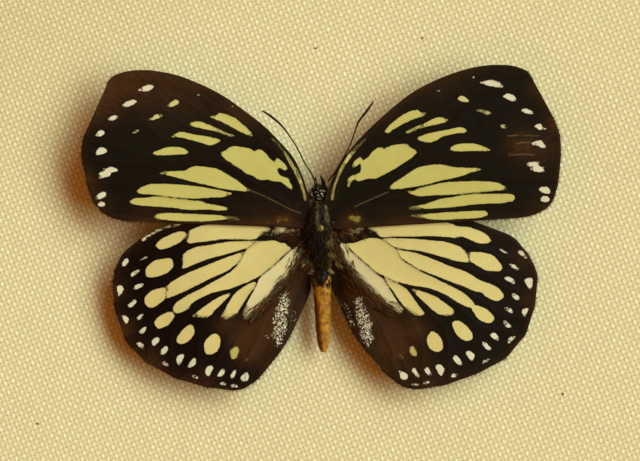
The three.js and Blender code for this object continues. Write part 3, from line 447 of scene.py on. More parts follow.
RIGHT_HINDWING = {
    "edge": [
        (331, 228), (345, 222), (360, 220), (380, 218), (400, 217), (420, 216), (440, 215.5),
        (455, 216.5), (465, 218), (473, 221.3), (483, 225.5), (493, 229), (502, 231.5),
        (511, 235.3), (517, 239.5), (523, 246.5), (528.5, 253), (532.5, 260), (536.3, 268),
        (538.5, 275), (538.7, 279), (537, 287), (536.5, 291), (537, 299), (536, 307),
        (534.5, 311), (532, 314), (530.5, 321), (529, 329), (526, 336.5), (520, 341.5),
        (515, 347), (509, 357), (502, 362), (493, 365.5), (486, 369.3), (479, 374),
        (469, 377.3), (459, 379.5), (449, 384.8), (440, 386.8), (430, 387.8), (422, 389.8),
        (416, 390), (405, 388), (396, 382.5), (384, 372), (376, 360), (366, 351.5),
        (360, 343.5), (352, 331.5), (347, 321), (342, 310.5), (338, 301.5), (333, 290),
        (331.5, 280), (331, 262), (331, 245),
    ],
    "veins": [
        [(337, 236), (350, 238), (368, 235.5), (380, 238), (395, 237.4), (415, 237.6),
         (435, 239), (452, 241), (468, 245), (485, 248.7), (502, 257.5), (516, 261),
         (535, 266)],
        [(380, 238), (386, 241.5), (394, 248), (409, 250.5), (424, 254), (438, 258.5),
         (452, 263.5), (466, 267.5), (478, 272), (492, 276.5), (504, 286.5), (520, 291),
         (536, 292)],
        [(394, 248), (398, 252.5), (402, 259.5), (413, 267), (425, 272.7), (438, 278.5),
         (451, 284.4), (464, 290.5), (476, 298), (489, 305), (500, 315), (515, 318),
         (530, 319)],
        [(336, 241), (345, 246), (354, 254), (365, 263.8), (377, 273.8), (386, 279.5),
         (402, 285.5), (415, 287.6), (428, 290.5), (440, 295.5), (451, 302), (461, 309),
         (470, 317), (480, 326), (490, 330), (500, 330), (514, 333.5), (525, 336)],
        [(400, 284.5), (409, 289.5), (415, 296.5), (422, 305), (430, 313.5), (439, 322),
         (446, 333), (449, 346), (448, 358), (449, 370), (449, 383)],
        [(384, 279), (387, 284.5), (392, 292), (398, 300), (404, 309), (412, 321), (419, 335),
         (423, 350), (422.5, 370), (421.5, 388)],
        [(338, 248), (352, 275), (366, 300), (380, 325), (391, 350), (394, 380)],
        [(335, 256), (342, 285), (352, 312), (364, 338), (374, 356)],
    ],
    "cream": [
        [(367, 227), (372, 226), (380, 225), (390, 223.8), (412, 222.5), (438, 221.8),
         (447, 222.5), (458, 225.8), (465, 226.6), (472, 228), (484, 232.8), (488, 235.7),
         (490.5, 238.7), (491.5, 241), (488.5, 243), (484, 243.5), (478, 242.7), (467, 238),
         (462, 236.7), (456, 237.8), (448, 237), (428, 235.9), (418, 236.3), (398, 236.3),
         (381, 236.8), (378, 234.5), (374, 231.5), (370, 229.5)],
        [(383, 239.3), (388, 238.4), (396, 238.4), (416, 238.9), (432, 240.6), (447, 242.4),
         (459, 246.3), (463, 248.8), (466, 251.5), (469.5, 259), (468, 262.3), (463, 262.2),
         (448, 258.5), (432, 253.9), (416, 250.2), (408, 249.5), (395, 246.8), (387, 241.8)],
        [(470, 254), (471, 251.5), (474, 252), (482, 252.2), (491, 254.5), (495, 257),
         (498, 260), (503, 267), (502.5, 269.5), (500, 271), (496, 271.2), (486, 270),
         (478, 265.8), (474, 263.5), (470.5, 260.8), (469.5, 257)],
        [(397, 249.5), (403, 250.8), (416, 253.3), (428, 257.2), (440, 262), (452, 267),
         (464, 271), (472, 275.3), (483, 281.5), (491, 284.3), (498, 287.8), (503.5, 293.5),
         (504.5, 297), (502, 299.5), (499, 301), (495, 301), (487, 296.8), (482.5, 293),
         (475, 291.3), (464, 286.5), (452, 282.3), (440, 277.3), (428, 272.5), (416, 267.2),
         (407, 261.5), (400.5, 256.5), (398, 251.5)],
        [(346.5, 243.7), (353, 243.2), (358, 242), (363, 239.8), (368, 238.4), (374, 238),
         (380, 239.3), (385, 241.5), (390, 245), (395, 248.5), (397.5, 251.5), (401, 258.7),
         (410, 265.2), (422, 272.2), (436, 278.8), (449, 285.3), (462, 292), (471, 299.3),
         (474.5, 303.5), (476, 306), (472, 308.3), (463, 305), (455, 300.3), (445, 294.3),
         (433, 289.4), (425, 287.3), (409, 284.7), (395, 280.5), (382, 274.8), (378, 272.8),
         (366, 262.7), (355, 253), (351, 249), (348.5, 246)],
        [(473, 305), (478, 306), (487, 309.5), (493, 315), (495, 319), (493.5, 321.5),
         (491, 323.2), (487, 322.8), (479, 319), (476, 315.5), (474, 312), (472, 309.5)],
        [(412.5, 289.5), (424, 292.2), (436, 296.8), (446, 303.7), (453.5, 310), (454, 314),
         (445, 315.8), (441, 315), (433, 309.8), (425, 302.5), (418, 296), (415.5, 292.8)],
        [(453, 324), (454, 321.5), (458, 321), (461, 322), (468.5, 328), (471.5, 331.5),
         (473, 335.5), (473, 339), (470, 341), (466, 341), (462, 339.3), (456, 333.3),
         (454.3, 329.5), (453, 326.5)],
        [(385, 278), (390, 280.3), (402, 286), (406.5, 289), (413, 297.5), (419, 306),
         (424.5, 314), (421, 315.5), (416, 315.5), (407, 309.5), (399.5, 300), (393, 290.5),
         (386.5, 281.5)],
        [(427, 341), (428, 337), (430, 334), (432, 331.8), (434, 332), (440, 337), (442, 341),
         (443.5, 346), (443, 349.5), (440.5, 351.3), (437, 352.2), (433.5, 351.2),
         (430.5, 349), (428.5, 345.5)],
    ],
    "whitish": [
        [(341, 243), (347, 246.7), (349.8, 250.5), (354, 254.5), (365, 264.2), (377, 274.5),
         (383.5, 279.3), (385.7, 283.5), (391.7, 292.5), (398, 302.5), (404, 310), (400, 313),
         (392, 308), (383, 300), (373, 291), (363, 281), (353, 269), (345.5, 258), (341, 250)],
        [(350, 226), (357, 224.7), (365, 226), (362, 229), (355, 229)],
    ],
    "olive": [
        [(410, 350), (411, 347), (413, 346.5), (415.5, 349.5), (417.3, 353), (416.5, 356.8),
         (413.5, 356.5), (410.5, 353.8)],
        [(399.5, 356), (402, 355), (403.5, 358), (401, 359.5)],
    ],
    "white": [
        [(500, 249), (502.5, 249.6), (506, 251.5), (508.5, 253.7), (505.5, 253),
         (502.5, 251.3)],
        [(519, 252), (522, 251), (524, 252.3), (526, 255), (528, 258), (526.5, 258.5),
         (523.5, 256.5), (520.5, 254)],
        [(510.5, 264.5), (513.5, 264.3), (517, 266.3), (519.5, 268.7), (519.5, 270),
         (516.5, 269.7), (513, 267.8)],
        [(505.3, 279), (506.5, 277.3), (510, 277), (515.5, 281), (516.3, 283.5), (514.5, 284),
         (511, 282.3), (507.5, 280.5)],
        [(525.3, 280), (528, 278.7), (531, 278), (533.8, 278.8), (533.8, 283), (533, 287),
         (531.5, 289.2), (529.5, 287.8), (527.5, 284.5)],
        [(512.8, 294.8), (514.5, 293.8), (518, 295.3), (520.8, 298), (520.5, 299.8),
         (518, 300.2), (514.8, 298.5)],
        [(505.3, 308.7), (508, 307.8), (511, 308), (513.8, 313.5), (511.5, 313.3),
         (508.5, 311.5), (506, 310)],
        [(523, 312), (524, 310), (529.3, 308.8), (528.8, 312), (527, 315), (525.5, 317),
         (524.3, 315.2)],
        [(504.7, 321), (507, 322), (510, 324.3), (512.8, 326.5), (511, 328), (508, 327.8),
         (505.5, 325.5)],
        [(491, 335), (493, 333.5), (496, 333.8), (498.5, 336.3), (499.7, 339.5),
         (498.5, 341.3), (496, 340), (493, 337.8)],
        [(509, 341), (510, 338.5), (513, 337.3), (516.8, 337.3), (515.5, 339.5), (511, 343),
         (509.5, 344.7)],
        [(483.5, 342.5), (486, 343), (488.5, 345), (490.5, 347.5), (492.3, 349.8),
         (489.5, 350.7), (486.5, 349), (484.5, 346.8)],
        [(466, 354.5), (467.5, 352), (470, 351.5), (473, 353.5), (475, 355.5), (474.5, 359),
         (472.5, 361.5), (470.3, 360), (468.5, 357)],
        [(483, 364.3), (484.5, 361.5), (487, 360), (490.8, 359.7), (489, 361.5), (486, 363)],
        [(453.8, 358.5), (455.3, 355.8), (458, 357), (460.5, 360), (462.5, 365.3),
         (460, 365.3), (457, 363.5), (455, 361.3)],
        [(451.5, 377.3), (453, 375), (456, 374.3), (459.5, 374.8), (457.5, 376),
         (454.5, 377.8)],
        [(435.8, 367), (438, 365.3), (441, 365.3), (443.5, 367.3), (445, 370), (444, 373),
         (442.3, 376), (440, 375.5), (438, 371.5)],
        [(425, 369.5), (427, 368), (429, 369), (430.5, 372), (432.3, 375.3), (430, 375.8),
         (427, 373.8), (425.3, 371.8)],
        [(412.5, 371), (414.5, 368.7), (416, 370), (418, 373.5), (420, 377), (418.5, 378),
         (416, 376), (413.8, 373.2)],
        [(399.3, 371), (402, 372.3), (405, 373), (407.5, 375), (408.3, 377.5), (407, 379.8),
         (403, 380), (401, 378.3), (400.3, 375)],
        [(412, 385), (415, 384), (418.8, 385), (418.3, 386), (414.5, 386.3)],
        [(423, 384), (425.5, 382.3), (428, 381.8), (430, 382.5), (428.5, 384), (426, 384.8)],
    ],
    "blurred": [
        (457, 231, 8, 2.5, 0.8), (374, 229, 9, 3, 0.8), (466, 255, 9, 2.5, 0.6),
        (480, 287, 7, 2, 0.3), (448, 313, 9, 3, 0.5), (412, 312, 10, 4.5, 1.5),
        (410, 303, 6, 2.5, 0.5), (341, 254, 8, 6, 0.5), (347, 266, 10, 8, 1),
        (358, 281, 13, 10, 1), (370, 293, 13, 10, 1.5), (382, 304, 13, 9, 2),
        (395, 311, 10, 7, 2), (413, 352, 7, 2, 0.3), (401, 357, 6, 3, 1.2),
        (357, 227, 9, 3, 0.8), (472, 306, 6, 1.5, 0.3),
    ],
    "gold": [(344, 236, 5, 0.25)],
    "pink": [(357, 227, 7, 0.75), (368, 230, 4, 0.4), (350, 232, 4, 0.4)],
    "wear_and_highlight": [[(348, 227), (354, 229), (360, 230)], [(349, 231), (355, 232.5), (361, 233)]],
    "silver": [
        [(355, 299), (357, 297), (361, 297), (363, 300), (364.5, 305), (366, 310),
         (368.5, 314), (370, 318), (373, 321), (371.5, 326), (371, 331), (373, 337),
         (373, 341), (371, 344), (368.5, 346.5), (365, 343.5), (362, 339.5), (360.5, 334),
         (359.5, 328), (358, 322), (357, 315), (355.5, 308)],
        [(342, 301), (345, 303), (347.5, 307), (350, 311), (352, 316), (353, 321),
         (354.5, 326), (352.5, 328), (350, 323), (348, 317), (345.5, 311), (343.5, 306)],
    ],
}

# Curves and distances in the plane


def placed(points):
    """Points of the picture frame as millimetres in the object's own frame."""
    given = np.array(points, float)
    given[:, 0] = (given[:, 0] - FRAME_MIDDLE[0]) * STEP
    given[:, 1] = (FRAME_MIDDLE[1] - given[:, 1]) * STEP
    return given


def blended(start, end, start_knot, end_knot, knot):
    share = (knot - start_knot) / (end_knot - start_knot)
    return start * (1 - share) + end * share


def smooth_line(points, spacing, closed=False):
    """Points set evenly along the smooth curve that runs through the given ones."""
    given = np.asarray(points, float)
    if closed:
        around = np.vstack([given[-1:], given, given[:2]])
    else:
        around = np.vstack([2 * given[:1] - given[1:2], given, 2 * given[-1:] - given[-2:-1]])
    stretches = []
    share = np.linspace(0, 1, 10, endpoint=False)[:, None]
    for a, b, c, d in zip(around, around[1:], around[2:], around[3:]):
        gaps = [np.linalg.norm(q - p) ** 0.5 for p, q in ((a, b), (b, c), (c, d))]
        k0, k1, k2, k3 = np.cumsum([0, *gaps])
        knot = k1 + share * (k2 - k1)
        ab = blended(a, b, k0, k1, knot)
        bc = blended(b, c, k1, k2, knot)
        cd = blended(c, d, k2, k3, knot)
        stretches.append(
            blended(blended(ab, bc, k0, k2, knot), blended(bc, cd, k1, k3, knot), k1, k2, knot)
        )
    end = given[:1] if closed else given[-1:]
    line = np.vstack([*stretches, end])
    travel = np.concatenate([[0], np.cumsum(np.linalg.norm(np.diff(line, axis=0), axis=1))])
    count = max(round(travel[-1] / spacing), 4)
    stops = np.linspace(0, travel[-1], count + 1)
    even = np.column_stack([np.interp(stops, travel, axis) for axis in line.T])
    return even[:-1] if closed else even


def distance_to(places, lines, closed=False):
    """Each place's distance to the nearest of the lines."""
    nearest = np.full(len(places), np.inf)
    for line in lines:
        starts = line if closed else line[:-1]
        ends = np.roll(line, -1, axis=0) if closed else line[1:]
        along = ends - starts
        offset = places[:, None] - starts[None]
        share = (offset * along).sum(2) / np.maximum((along**2).sum(1), 1e-12)
        gap = np.linalg.norm(offset - np.clip(share, 0, 1)[:, :, None] * along, axis=2)
        nearest = np.minimum(nearest, gap.min(1))
    return nearest


def inside(places, ring):
    """Which of the places lie inside the closed ring."""
    x, y = places[:, :1], places[:, 1:]
    x0, y0 = ring.T
    x1, y1 = np.roll(ring, -1, axis=0).T
    rise = np.where(y1 == y0, 1e-12, y1 - y0)
    crosses = ((y0 > y) != (y1 > y)) & (x < (x1 - x0) * (y - y0) / rise + x0)
    return crosses.sum(1) % 2 == 1


def smoothstep(value, low, high):
    share = np.clip((value - low) / (high - low), 0, 1)
    return share * share * (3 - 2 * share)


def ripple(x, y, scale, seed):
    """A smooth random surface between about -1 and 1, with bumps about scale apart."""
    draw = np.random.default_rng(seed)
    total = 0
    waves = 6
    for _ in range(waves):
        angle = draw.uniform(0, math.pi)
        rate = 2 * math.pi / (scale * draw.uniform(1.4, 2.6))
        total = total + np.sin((x * math.cos(angle) + y * math.sin(angle)) * rate + draw.uniform(0, 6.3))
    return total / waves * 1.6


# Heights of the wings, as in the solids they stand for

TIP_RISE = 1.17
CAMBER = 0.7
WING_DEPTH = 30
UNDER_FOREWING = 0.6
HINDWING_SAG = 1.2
INNER_FOLD = 2.4
OUTER_DROOP = 1.8
DROOP_SPAN = (20, 42)


def forewing_height(x, y):
    reach = np.abs(x) / (WINGSPAN / 2)
    across = np.clip((y + 1) / WING_DEPTH, 0, 1)
    arch = (1 - np.cos(2 * math.pi * across)) / 2
    return WING_Z + TIP_RISE * reach * (2 - reach) + CAMBER * arch


def hindwing_height(x, y):
    back = np.maximum(-y / WING_DEPTH, 0)
    beside_body = np.exp(-(((np.abs(x) - 2) / 3) ** 2))
    fold = INNER_FOLD * beside_body * smoothstep(-y, 4, 12)
    droop = OUTER_DROOP * smoothstep(np.abs(x), *DROOP_SPAN)
    return forewing_height(x, y) - UNDER_FOREWING - HINDWING_SAG * back * back - fold - droop


# Meshes


def make_piece(name, vertices, faces, material, slot, smooth=True):
    """A mesh object from millimetre vertices that rides on the root body."""
    mesh = bpy.data.meshes.new(name)
    mesh.from_pydata(np.asarray(vertices, float) * MM, [], [list(map(int, face)) for face in faces])
    mesh.materials.append(material)
    mesh.polygons.foreach_set("use_smooth", [smooth] * len(mesh.polygons))
    mesh.update()
    piece = bpy.data.objects.new(name, mesh)
    bpy.context.scene.collection.objects.link(piece)
    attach(piece, "root")
    return piece


def note(piece, name, values):
    """Stores one number, or one vector, for each vertex."""
    values = np.asarray(values, float)
    kind = "FLOAT" if values.ndim == 1 else "FLOAT_VECTOR"
    attribute = piece.data.attributes.new(name, kind, "POINT")
    attribute.data.foreach_set("value" if values.ndim == 1 else "vector", values.ravel())


def joined(parts):
    """Several (vertices, faces) as one."""
    vertices, faces, start = [], [], 0
    for part_vertices, part_faces in parts:
        vertices.append(np.asarray(part_vertices, float))
        faces.extend([[start + i for i in face] for face in part_faces])
        start += len(part_vertices)
    return np.vstack(vertices), faces


def skin(rings):
    """Faces between closed rings of the same number of vertices, with both ends capped."""
    count, sides = rings.shape[:2]
    faces = []
    for i in range(count - 1):
        for k in range(sides):
            a, b = i * sides + k, i * sides + (k + 1) % sides
            faces.append((a, b, b + sides, a + sides))
    faces.append(tuple(reversed(range(sides))))
    faces.append(tuple(range((count - 1) * sides, count * sides)))
    return rings.reshape(-1, 3), faces


def tube(path, radii, sides):
    """A closed tube along the path, with a radius at each of its points."""
    path = np.asarray(path, float)
    tangents = np.gradient(path, axis=0)
    tangents /= np.linalg.norm(tangents, axis=1, keepdims=True)
    side = np.cross(tangents[0], (0, 0, 1) if abs(tangents[0][2]) < 0.9 else (1, 0, 0))
    rings = []
    for middle, tangent, radius in zip(path, tangents, radii):
        side = side - tangent * side.dot(tangent)
        side /= np.linalg.norm(side)
        up = np.cross(tangent, side)
        turn = np.linspace(0, 2 * math.pi, sides, endpoint=False)[:, None]
        rings.append(middle + radius * (np.cos(turn) * side + np.sin(turn) * up))
    return skin(np.array(rings))


def ball(middle, radii, sides=32, rings=20):
    """A closed ellipsoid."""
    across = np.linspace(0, math.pi, rings + 1)[1:-1]
    turn = np.linspace(0, 2 * math.pi, sides, endpoint=False)
    unit = np.array([[(math.sin(a) * math.cos(t), math.sin(a) * math.sin(t), -math.cos(a))
                      for t in turn] for a in across])
    return skin(np.asarray(middle) + unit * np.asarray(radii))


def strands(roots, tips, bends, radius, steps=4):
    """Hairs as thin closed three-sided tubes. Returns the mesh and each hair's vertex count."""
    roots, tips, bends = (np.asarray(value, float) for value in (roots, tips, bends))
    share = np.linspace(0, 1, steps)[None, :, None]
    line = roots[:, None] * (1 - share) + tips[:, None] * share
    line = line + bends[:, None] * (4 * share * (1 - share))
    tangent = tips - roots
    tangent /= np.maximum(np.linalg.norm(tangent, axis=1, keepdims=True), 1e-9)
    side = np.cross(tangent, (0.31, 0.52, 0.79))
    side /= np.linalg.norm(side, axis=1, keepdims=True)
    up = np.cross(tangent, side)
    width = np.asarray(radius, float).reshape(-1, 1, 1, 1) * (1 - 0.82 * share[..., None] ** 1.5)
    turn = np.array([0, 2, 4]) * math.pi / 3
    around = (np.cos(turn)[None, :, None] * side[:, None] + np.sin(turn)[None, :, None] * up[:, None])
    vertices = line[:, :, None] + width * around[:, None]
    per_hair = steps * 3
    faces = []
    for h in range(len(roots)):
        base = h * per_hair
        for i in range(steps - 1):
            for k in range(3):
                a, b = base + i * 3 + k, base + i * 3 + (k + 1) % 3
                faces.append((a, b, b + 3, a + 3))
        faces.append((base + 2, base + 1, base))
        top = base + (steps - 1) * 3
        faces.append((top, top + 1, top + 2))
    return vertices.reshape(-1, 3), faces, per_hair


# Shader helpers


class Nodes:
    """Short ways to add and link the nodes of one tree."""

    def __init__(self, tree):
        self.tree = tree

    def add(self, kind, **settings):
        node = self.tree.nodes.new(kind)
        for name, value in settings.items():
            setattr(node, name, value)
        return node

    def feed(self, socket, value):
        if isinstance(value, bpy.types.NodeSocket):
            self.tree.links.new(value, socket)
        elif value is not None:
            socket.default_value = value

    def math(self, operation, *values, clamp=False):
        node = self.add("ShaderNodeMath", operation=operation, use_clamp=clamp)
        for socket, value in zip(node.inputs, values):
            self.feed(socket, value)
        return node.outputs[0]

    def times(self, first, second):
        return self.math("MULTIPLY", first, second)

    def plus(self, first, second, clamp=False):
        return self.math("ADD", first, second, clamp=clamp)

    def minus(self, first, second, clamp=False):
        return self.math("SUBTRACT", first, second, clamp=clamp)

    def attribute(self, name, output="Fac"):
        return self.add("ShaderNodeAttribute", attribute_name=name).outputs[output]

    def noise(self, vector, scale, detail=2.0, roughness=0.5, distortion=0.0):
        node = self.add("ShaderNodeTexNoise")
        self.feed(node.inputs["Vector"], vector)
        node.inputs["Scale"].default_value = scale
        node.inputs["Detail"].default_value = detail
        node.inputs["Roughness"].default_value = roughness
        node.inputs["Distortion"].default_value = distortion
        return node.outputs["Fac"]

    def cells(self, vector, scale, feature="F1", output="Distance"):
        node = self.add("ShaderNodeTexVoronoi", feature=feature)
        self.feed(node.inputs["Vector"], vector)
        node.inputs["Scale"].default_value = scale
        return node.outputs[output]

    def stretch(self, vector, scale):
        node = self.add("ShaderNodeMapping")
        self.feed(node.inputs["Vector"], vector)
        node.inputs["Scale"].default_value = scale
        return node.outputs[0]

    def ramp(self, value, low, high, to_low=0.0, to_high=1.0, smooth=True):
        node = self.add("ShaderNodeMapRange", interpolation_type="SMOOTHSTEP" if smooth else "LINEAR")
        for socket, item in zip(node.inputs, (value, low, high, to_low, to_high)):
            self.feed(socket, item)
        return node.outputs[0]

    def mix(self, share, first, second, blend="MIX"):
        node = self.add("ShaderNodeMix", data_type="RGBA", blend_type=blend)
        self.feed(node.inputs[0], share)
        self.feed(node.inputs[6], first)
        self.feed(node.inputs[7], second)
        return node.outputs[2]

    def add_tone(self, value, low, high):
        """A grey that multiplies a colour: low where the value is 0 and high where it is 1."""
        grey = self.ramp(value, 0.0, 1.0, low, high, smooth=False)
        node = self.add("ShaderNodeCombineColor")
        for socket in list(node.inputs)[:3]:
            self.feed(socket, grey)
        return node.outputs[0]

    def bump(self, height, strength, distance, normal=None):
        node = self.add("ShaderNodeBump")
        node.inputs["Strength"].default_value = strength
        node.inputs["Distance"].default_value = distance
        self.feed(node.inputs["Height"], height)
        self.feed(node.inputs["Normal"], normal)
        return node.outputs[0]

    def local(self):
        """The surface's place on the object, in millimetres."""
        place = self.add("ShaderNodeTexCoord").outputs["Object"]
        node = self.add("ShaderNodeVectorMath", operation="SCALE")
        self.feed(node.inputs[0], place)
        node.inputs["Scale"].default_value = 1 / MM
        return node.outputs[0]


def tint(red, green, blue):
    """A shader colour from screen values of 0 to 255."""
    return (*[(value / 255) ** 2.2 for value in (red, green, blue)], 1.0)


def new_material(name):
    material = bpy.data.materials.new(name)
    material.use_nodes = True
    nodes = Nodes(material.node_tree)
    return material, nodes, material.node_tree.nodes["Principled BSDF"]


def set_shader(shader, nodes, **values):
    for name, value in values.items():
        nodes.feed(shader.inputs[name.replace("_", " ")], value)


def new_group(name, inputs, outputs):
    """A node group with named sockets. Inputs are (name, kind, default)."""
    tree = bpy.data.node_groups.new(name, "ShaderNodeTree")
    for label, kind, default in inputs:
        socket = tree.interface.new_socket(label, in_out="INPUT", socket_type=kind)
        if default is not None:
            socket.default_value = default
    for label, kind in outputs:
        tree.interface.new_socket(label, in_out="OUTPUT", socket_type=kind)
    nodes = Nodes(tree)
    return tree, nodes, nodes.add("NodeGroupInput").outputs, nodes.add("NodeGroupOutput").inputs


def use_group(nodes, tree, **values):
    node = nodes.add("ShaderNodeGroup", node_tree=tree)
    for name, value in values.items():
        nodes.feed(node.inputs[name.replace("_", " ")], value)
    return node.outputs


FLOAT, VECTOR = "NodeSocketFloat", "NodeSocketVector"

# Effects that several materials share

WARP_ROUND, WARP_RISE = 0.5, 0.5
WEFT_ROUND, WEFT_RISE = 0.42, 0.3
# The slant and narrowness of the bright streak painted along each warp float as a painted highlight.
HIGHLIGHT_SLANT, HIGHLIGHT_NARROW = -0.2, 4.8


def mottle_group():
    """Slow and quick changes of tone, from 0 to 1."""
    tree, nodes, given, out = new_group(
        "mottling",
        [("Place", VECTOR, None), ("Size", FLOAT, 1.0), ("Contrast", FLOAT, 1.0)],
        [("Tone", FLOAT)],
    )
    scaled = nodes.add("ShaderNodeVectorMath", operation="SCALE")
    nodes.feed(scaled.inputs[0], given["Place"])
    nodes.feed(scaled.inputs["Scale"], nodes.math("DIVIDE", 1.0, given["Size"]))
    slow = nodes.noise(scaled.outputs[0], 0.35, 3)
    quick = nodes.noise(scaled.outputs[0], 2.1, 4, 0.6)
    both = nodes.plus(nodes.times(slow, 0.6), nodes.times(quick, 0.4))
    spread = nodes.times(nodes.minus(both, 0.5), given["Contrast"])
    nodes.feed(out["Tone"], nodes.plus(spread, 0.5, clamp=True))
    return tree


def dust_group():
    """A mask of settled dust: single grains, denser where the surface faces up."""
    tree, nodes, given, out = new_group(
        "settled_dust",
        [("Place", VECTOR, None), ("Grain", FLOAT, 6.0), ("Amount", FLOAT, 0.1)],
        [("Mask", FLOAT)],
    )
    cell = nodes.add("ShaderNodeTexVoronoi", feature="F1")
    nodes.feed(cell.inputs["Vector"], given["Place"])
    nodes.feed(cell.inputs["Scale"], given["Grain"])
    chance = nodes.add("ShaderNodeSeparateColor")
    nodes.feed(chance.inputs[0], cell.outputs["Color"])
    chosen = nodes.math("LESS_THAN", chance.outputs[0], given["Amount"])
    grain = nodes.ramp(cell.outputs["Distance"], 0.38, 0.18)
    facing = nodes.add("ShaderNodeSeparateXYZ")
    nodes.feed(facing.inputs[0], nodes.add("ShaderNodeNewGeometry").outputs["Normal"])
    up = nodes.ramp(facing.outputs[2], -0.2, 0.7)
    nodes.feed(out["Mask"], nodes.times(nodes.times(chosen, grain), up))
    return tree


def weave_group():
    """Plain weave from thread counts: X counts the warp threads and Y the weft threads."""
    tree, nodes, given, out = new_group(
        "plain_weave",
        [("Threads", VECTOR, None)],
        [("Height", FLOAT), ("Warp", FLOAT), ("Pore", FLOAT), ("Float", FLOAT), ("Chance", FLOAT)],
    )
    counts = nodes.add("ShaderNodeSeparateXYZ")
    nodes.feed(counts.inputs[0], given["Threads"])

    def across(count):
        offset = nodes.minus(nodes.times(nodes.math("FRACT", count), 2.0), 1.0)
        return nodes.minus(1.0, nodes.times(offset, offset))

    def wave(along, other):
        turn = nodes.plus(nodes.minus(along, 0.5), nodes.math("FLOOR", other))
        return nodes.math("COSINE", nodes.times(turn, math.pi))

    x, y = counts.outputs[0], counts.outputs[1]
    warp_round, weft_round = across(x), across(y)
    warp = nodes.plus(nodes.times(warp_round, WARP_ROUND), nodes.times(wave(y, x), WARP_RISE))
    weft = nodes.minus(nodes.times(weft_round, WEFT_ROUND), nodes.times(wave(x, y), WEFT_RISE))
    top = nodes.math("SMOOTH_MAX", warp, weft, 0.12)
    nodes.feed(out["Height"], top)
    nodes.feed(out["Warp"], nodes.ramp(nodes.minus(warp, weft), -0.1, 0.1))
    widest = nodes.math("MAXIMUM", warp_round, weft_round)
    nodes.feed(out["Pore"], nodes.ramp(widest, 0.55, 0.15))
    # The float output is a narrow streak along the top of each warp float, drawn as a painted highlight.
    raised = nodes.math("SQRT", nodes.math("MAXIMUM", wave(y, x), 0.0))
    lean = nodes.times(nodes.minus(nodes.math("FRACT", y), 0.5), HIGHLIGHT_SLANT)
    aside = nodes.minus(nodes.minus(nodes.math("FRACT", x), 0.5), lean)
    aside = nodes.times(aside, HIGHLIGHT_NARROW)
    streak = nodes.minus(1.0, nodes.times(aside, aside), clamp=True)
    nodes.feed(out["Float"], nodes.times(streak, raised))
    crossing = nodes.add("ShaderNodeVectorMath", operation="FLOOR")
    nodes.feed(crossing.inputs[0], given["Threads"])
    picked = nodes.add("ShaderNodeTexWhiteNoise", noise_dimensions="2D")
    nodes.feed(picked.inputs["Vector"], crossing.outputs[0])
    nodes.feed(out["Chance"], picked.outputs["Value"])
    return tree


def scale_group():
    """Rows of overlapping wing scales that run across the flow of the wing."""
    tree, nodes, given, out = new_group(
        "scale_rows", [("Flow", VECTOR, None)], [("Height", FLOAT), ("Tone", FLOAT), ("Chance", FLOAT)]
    )
    cell = nodes.add("ShaderNodeTexVoronoi", feature="F1")
    nodes.feed(cell.inputs["Vector"], nodes.stretch(given["Flow"], (5.2, 9.5, 1)))
    cell.inputs["Scale"].default_value = 1.0
    cell.inputs["Randomness"].default_value = 0.55
    picked = nodes.add("ShaderNodeSeparateColor")
    nodes.feed(picked.inputs[0], cell.outputs["Color"])
    nodes.feed(out["Height"], nodes.ramp(cell.outputs["Distance"], 0.75, 0.1))
    nodes.feed(out["Tone"], picked.outputs[1])
    nodes.feed(out["Chance"], picked.outputs[0])
    return tree


MOTTLING = mottle_group()
DUST = dust_group()
WEAVE = weave_group()
SCALES = scale_group()

# Finishes

CREAM_FORE = tint(194, 185, 108)
CREAM_HIND = tint(210, 194, 128)
SPOT_WHITE = tint(214, 207, 180)
OLIVE_YELLOW = tint(150, 134, 62)
WING_BLACK = tint(23, 13, 7)
WING_SHEEN_BLACK = tint(27, 24, 15)
WING_BROWN = tint(66, 43, 24)
VEIN_BROWN = tint(40, 26, 14)
SILVER_DUST = tint(238, 228, 196)
WEAR_AND_HIGHLIGHT_TAN = tint(128, 102, 74)
RUST_BROWN = tint(104, 62, 24)
ROOT_TAN = tint(156, 134, 96)
CANVAS_SHADE = tint(201, 185, 135)
CANVAS_YARN = tint(224, 211, 166)
# The float colour is a painted highlight on the warp floats.
CANVAS_FLOAT_HIGHLIGHT = tint(255, 253, 228)
CANVAS_PORE_SHADE = tint(140, 116, 70)
# Painted shade: the light's fall-off darkens the canvas towards its top-left corner.
SHADED_CORNER = (-0.77, 0.64, 0.0)
CORNER_SHADE_TINT = (0.92, 0.91, 0.84, 1.0)
CORNER_SHADE_FROM, CORNER_SHADE_FULL = 35.0, 80.0
CORK_GRAINS = (0.55, 0.55, 0.55)


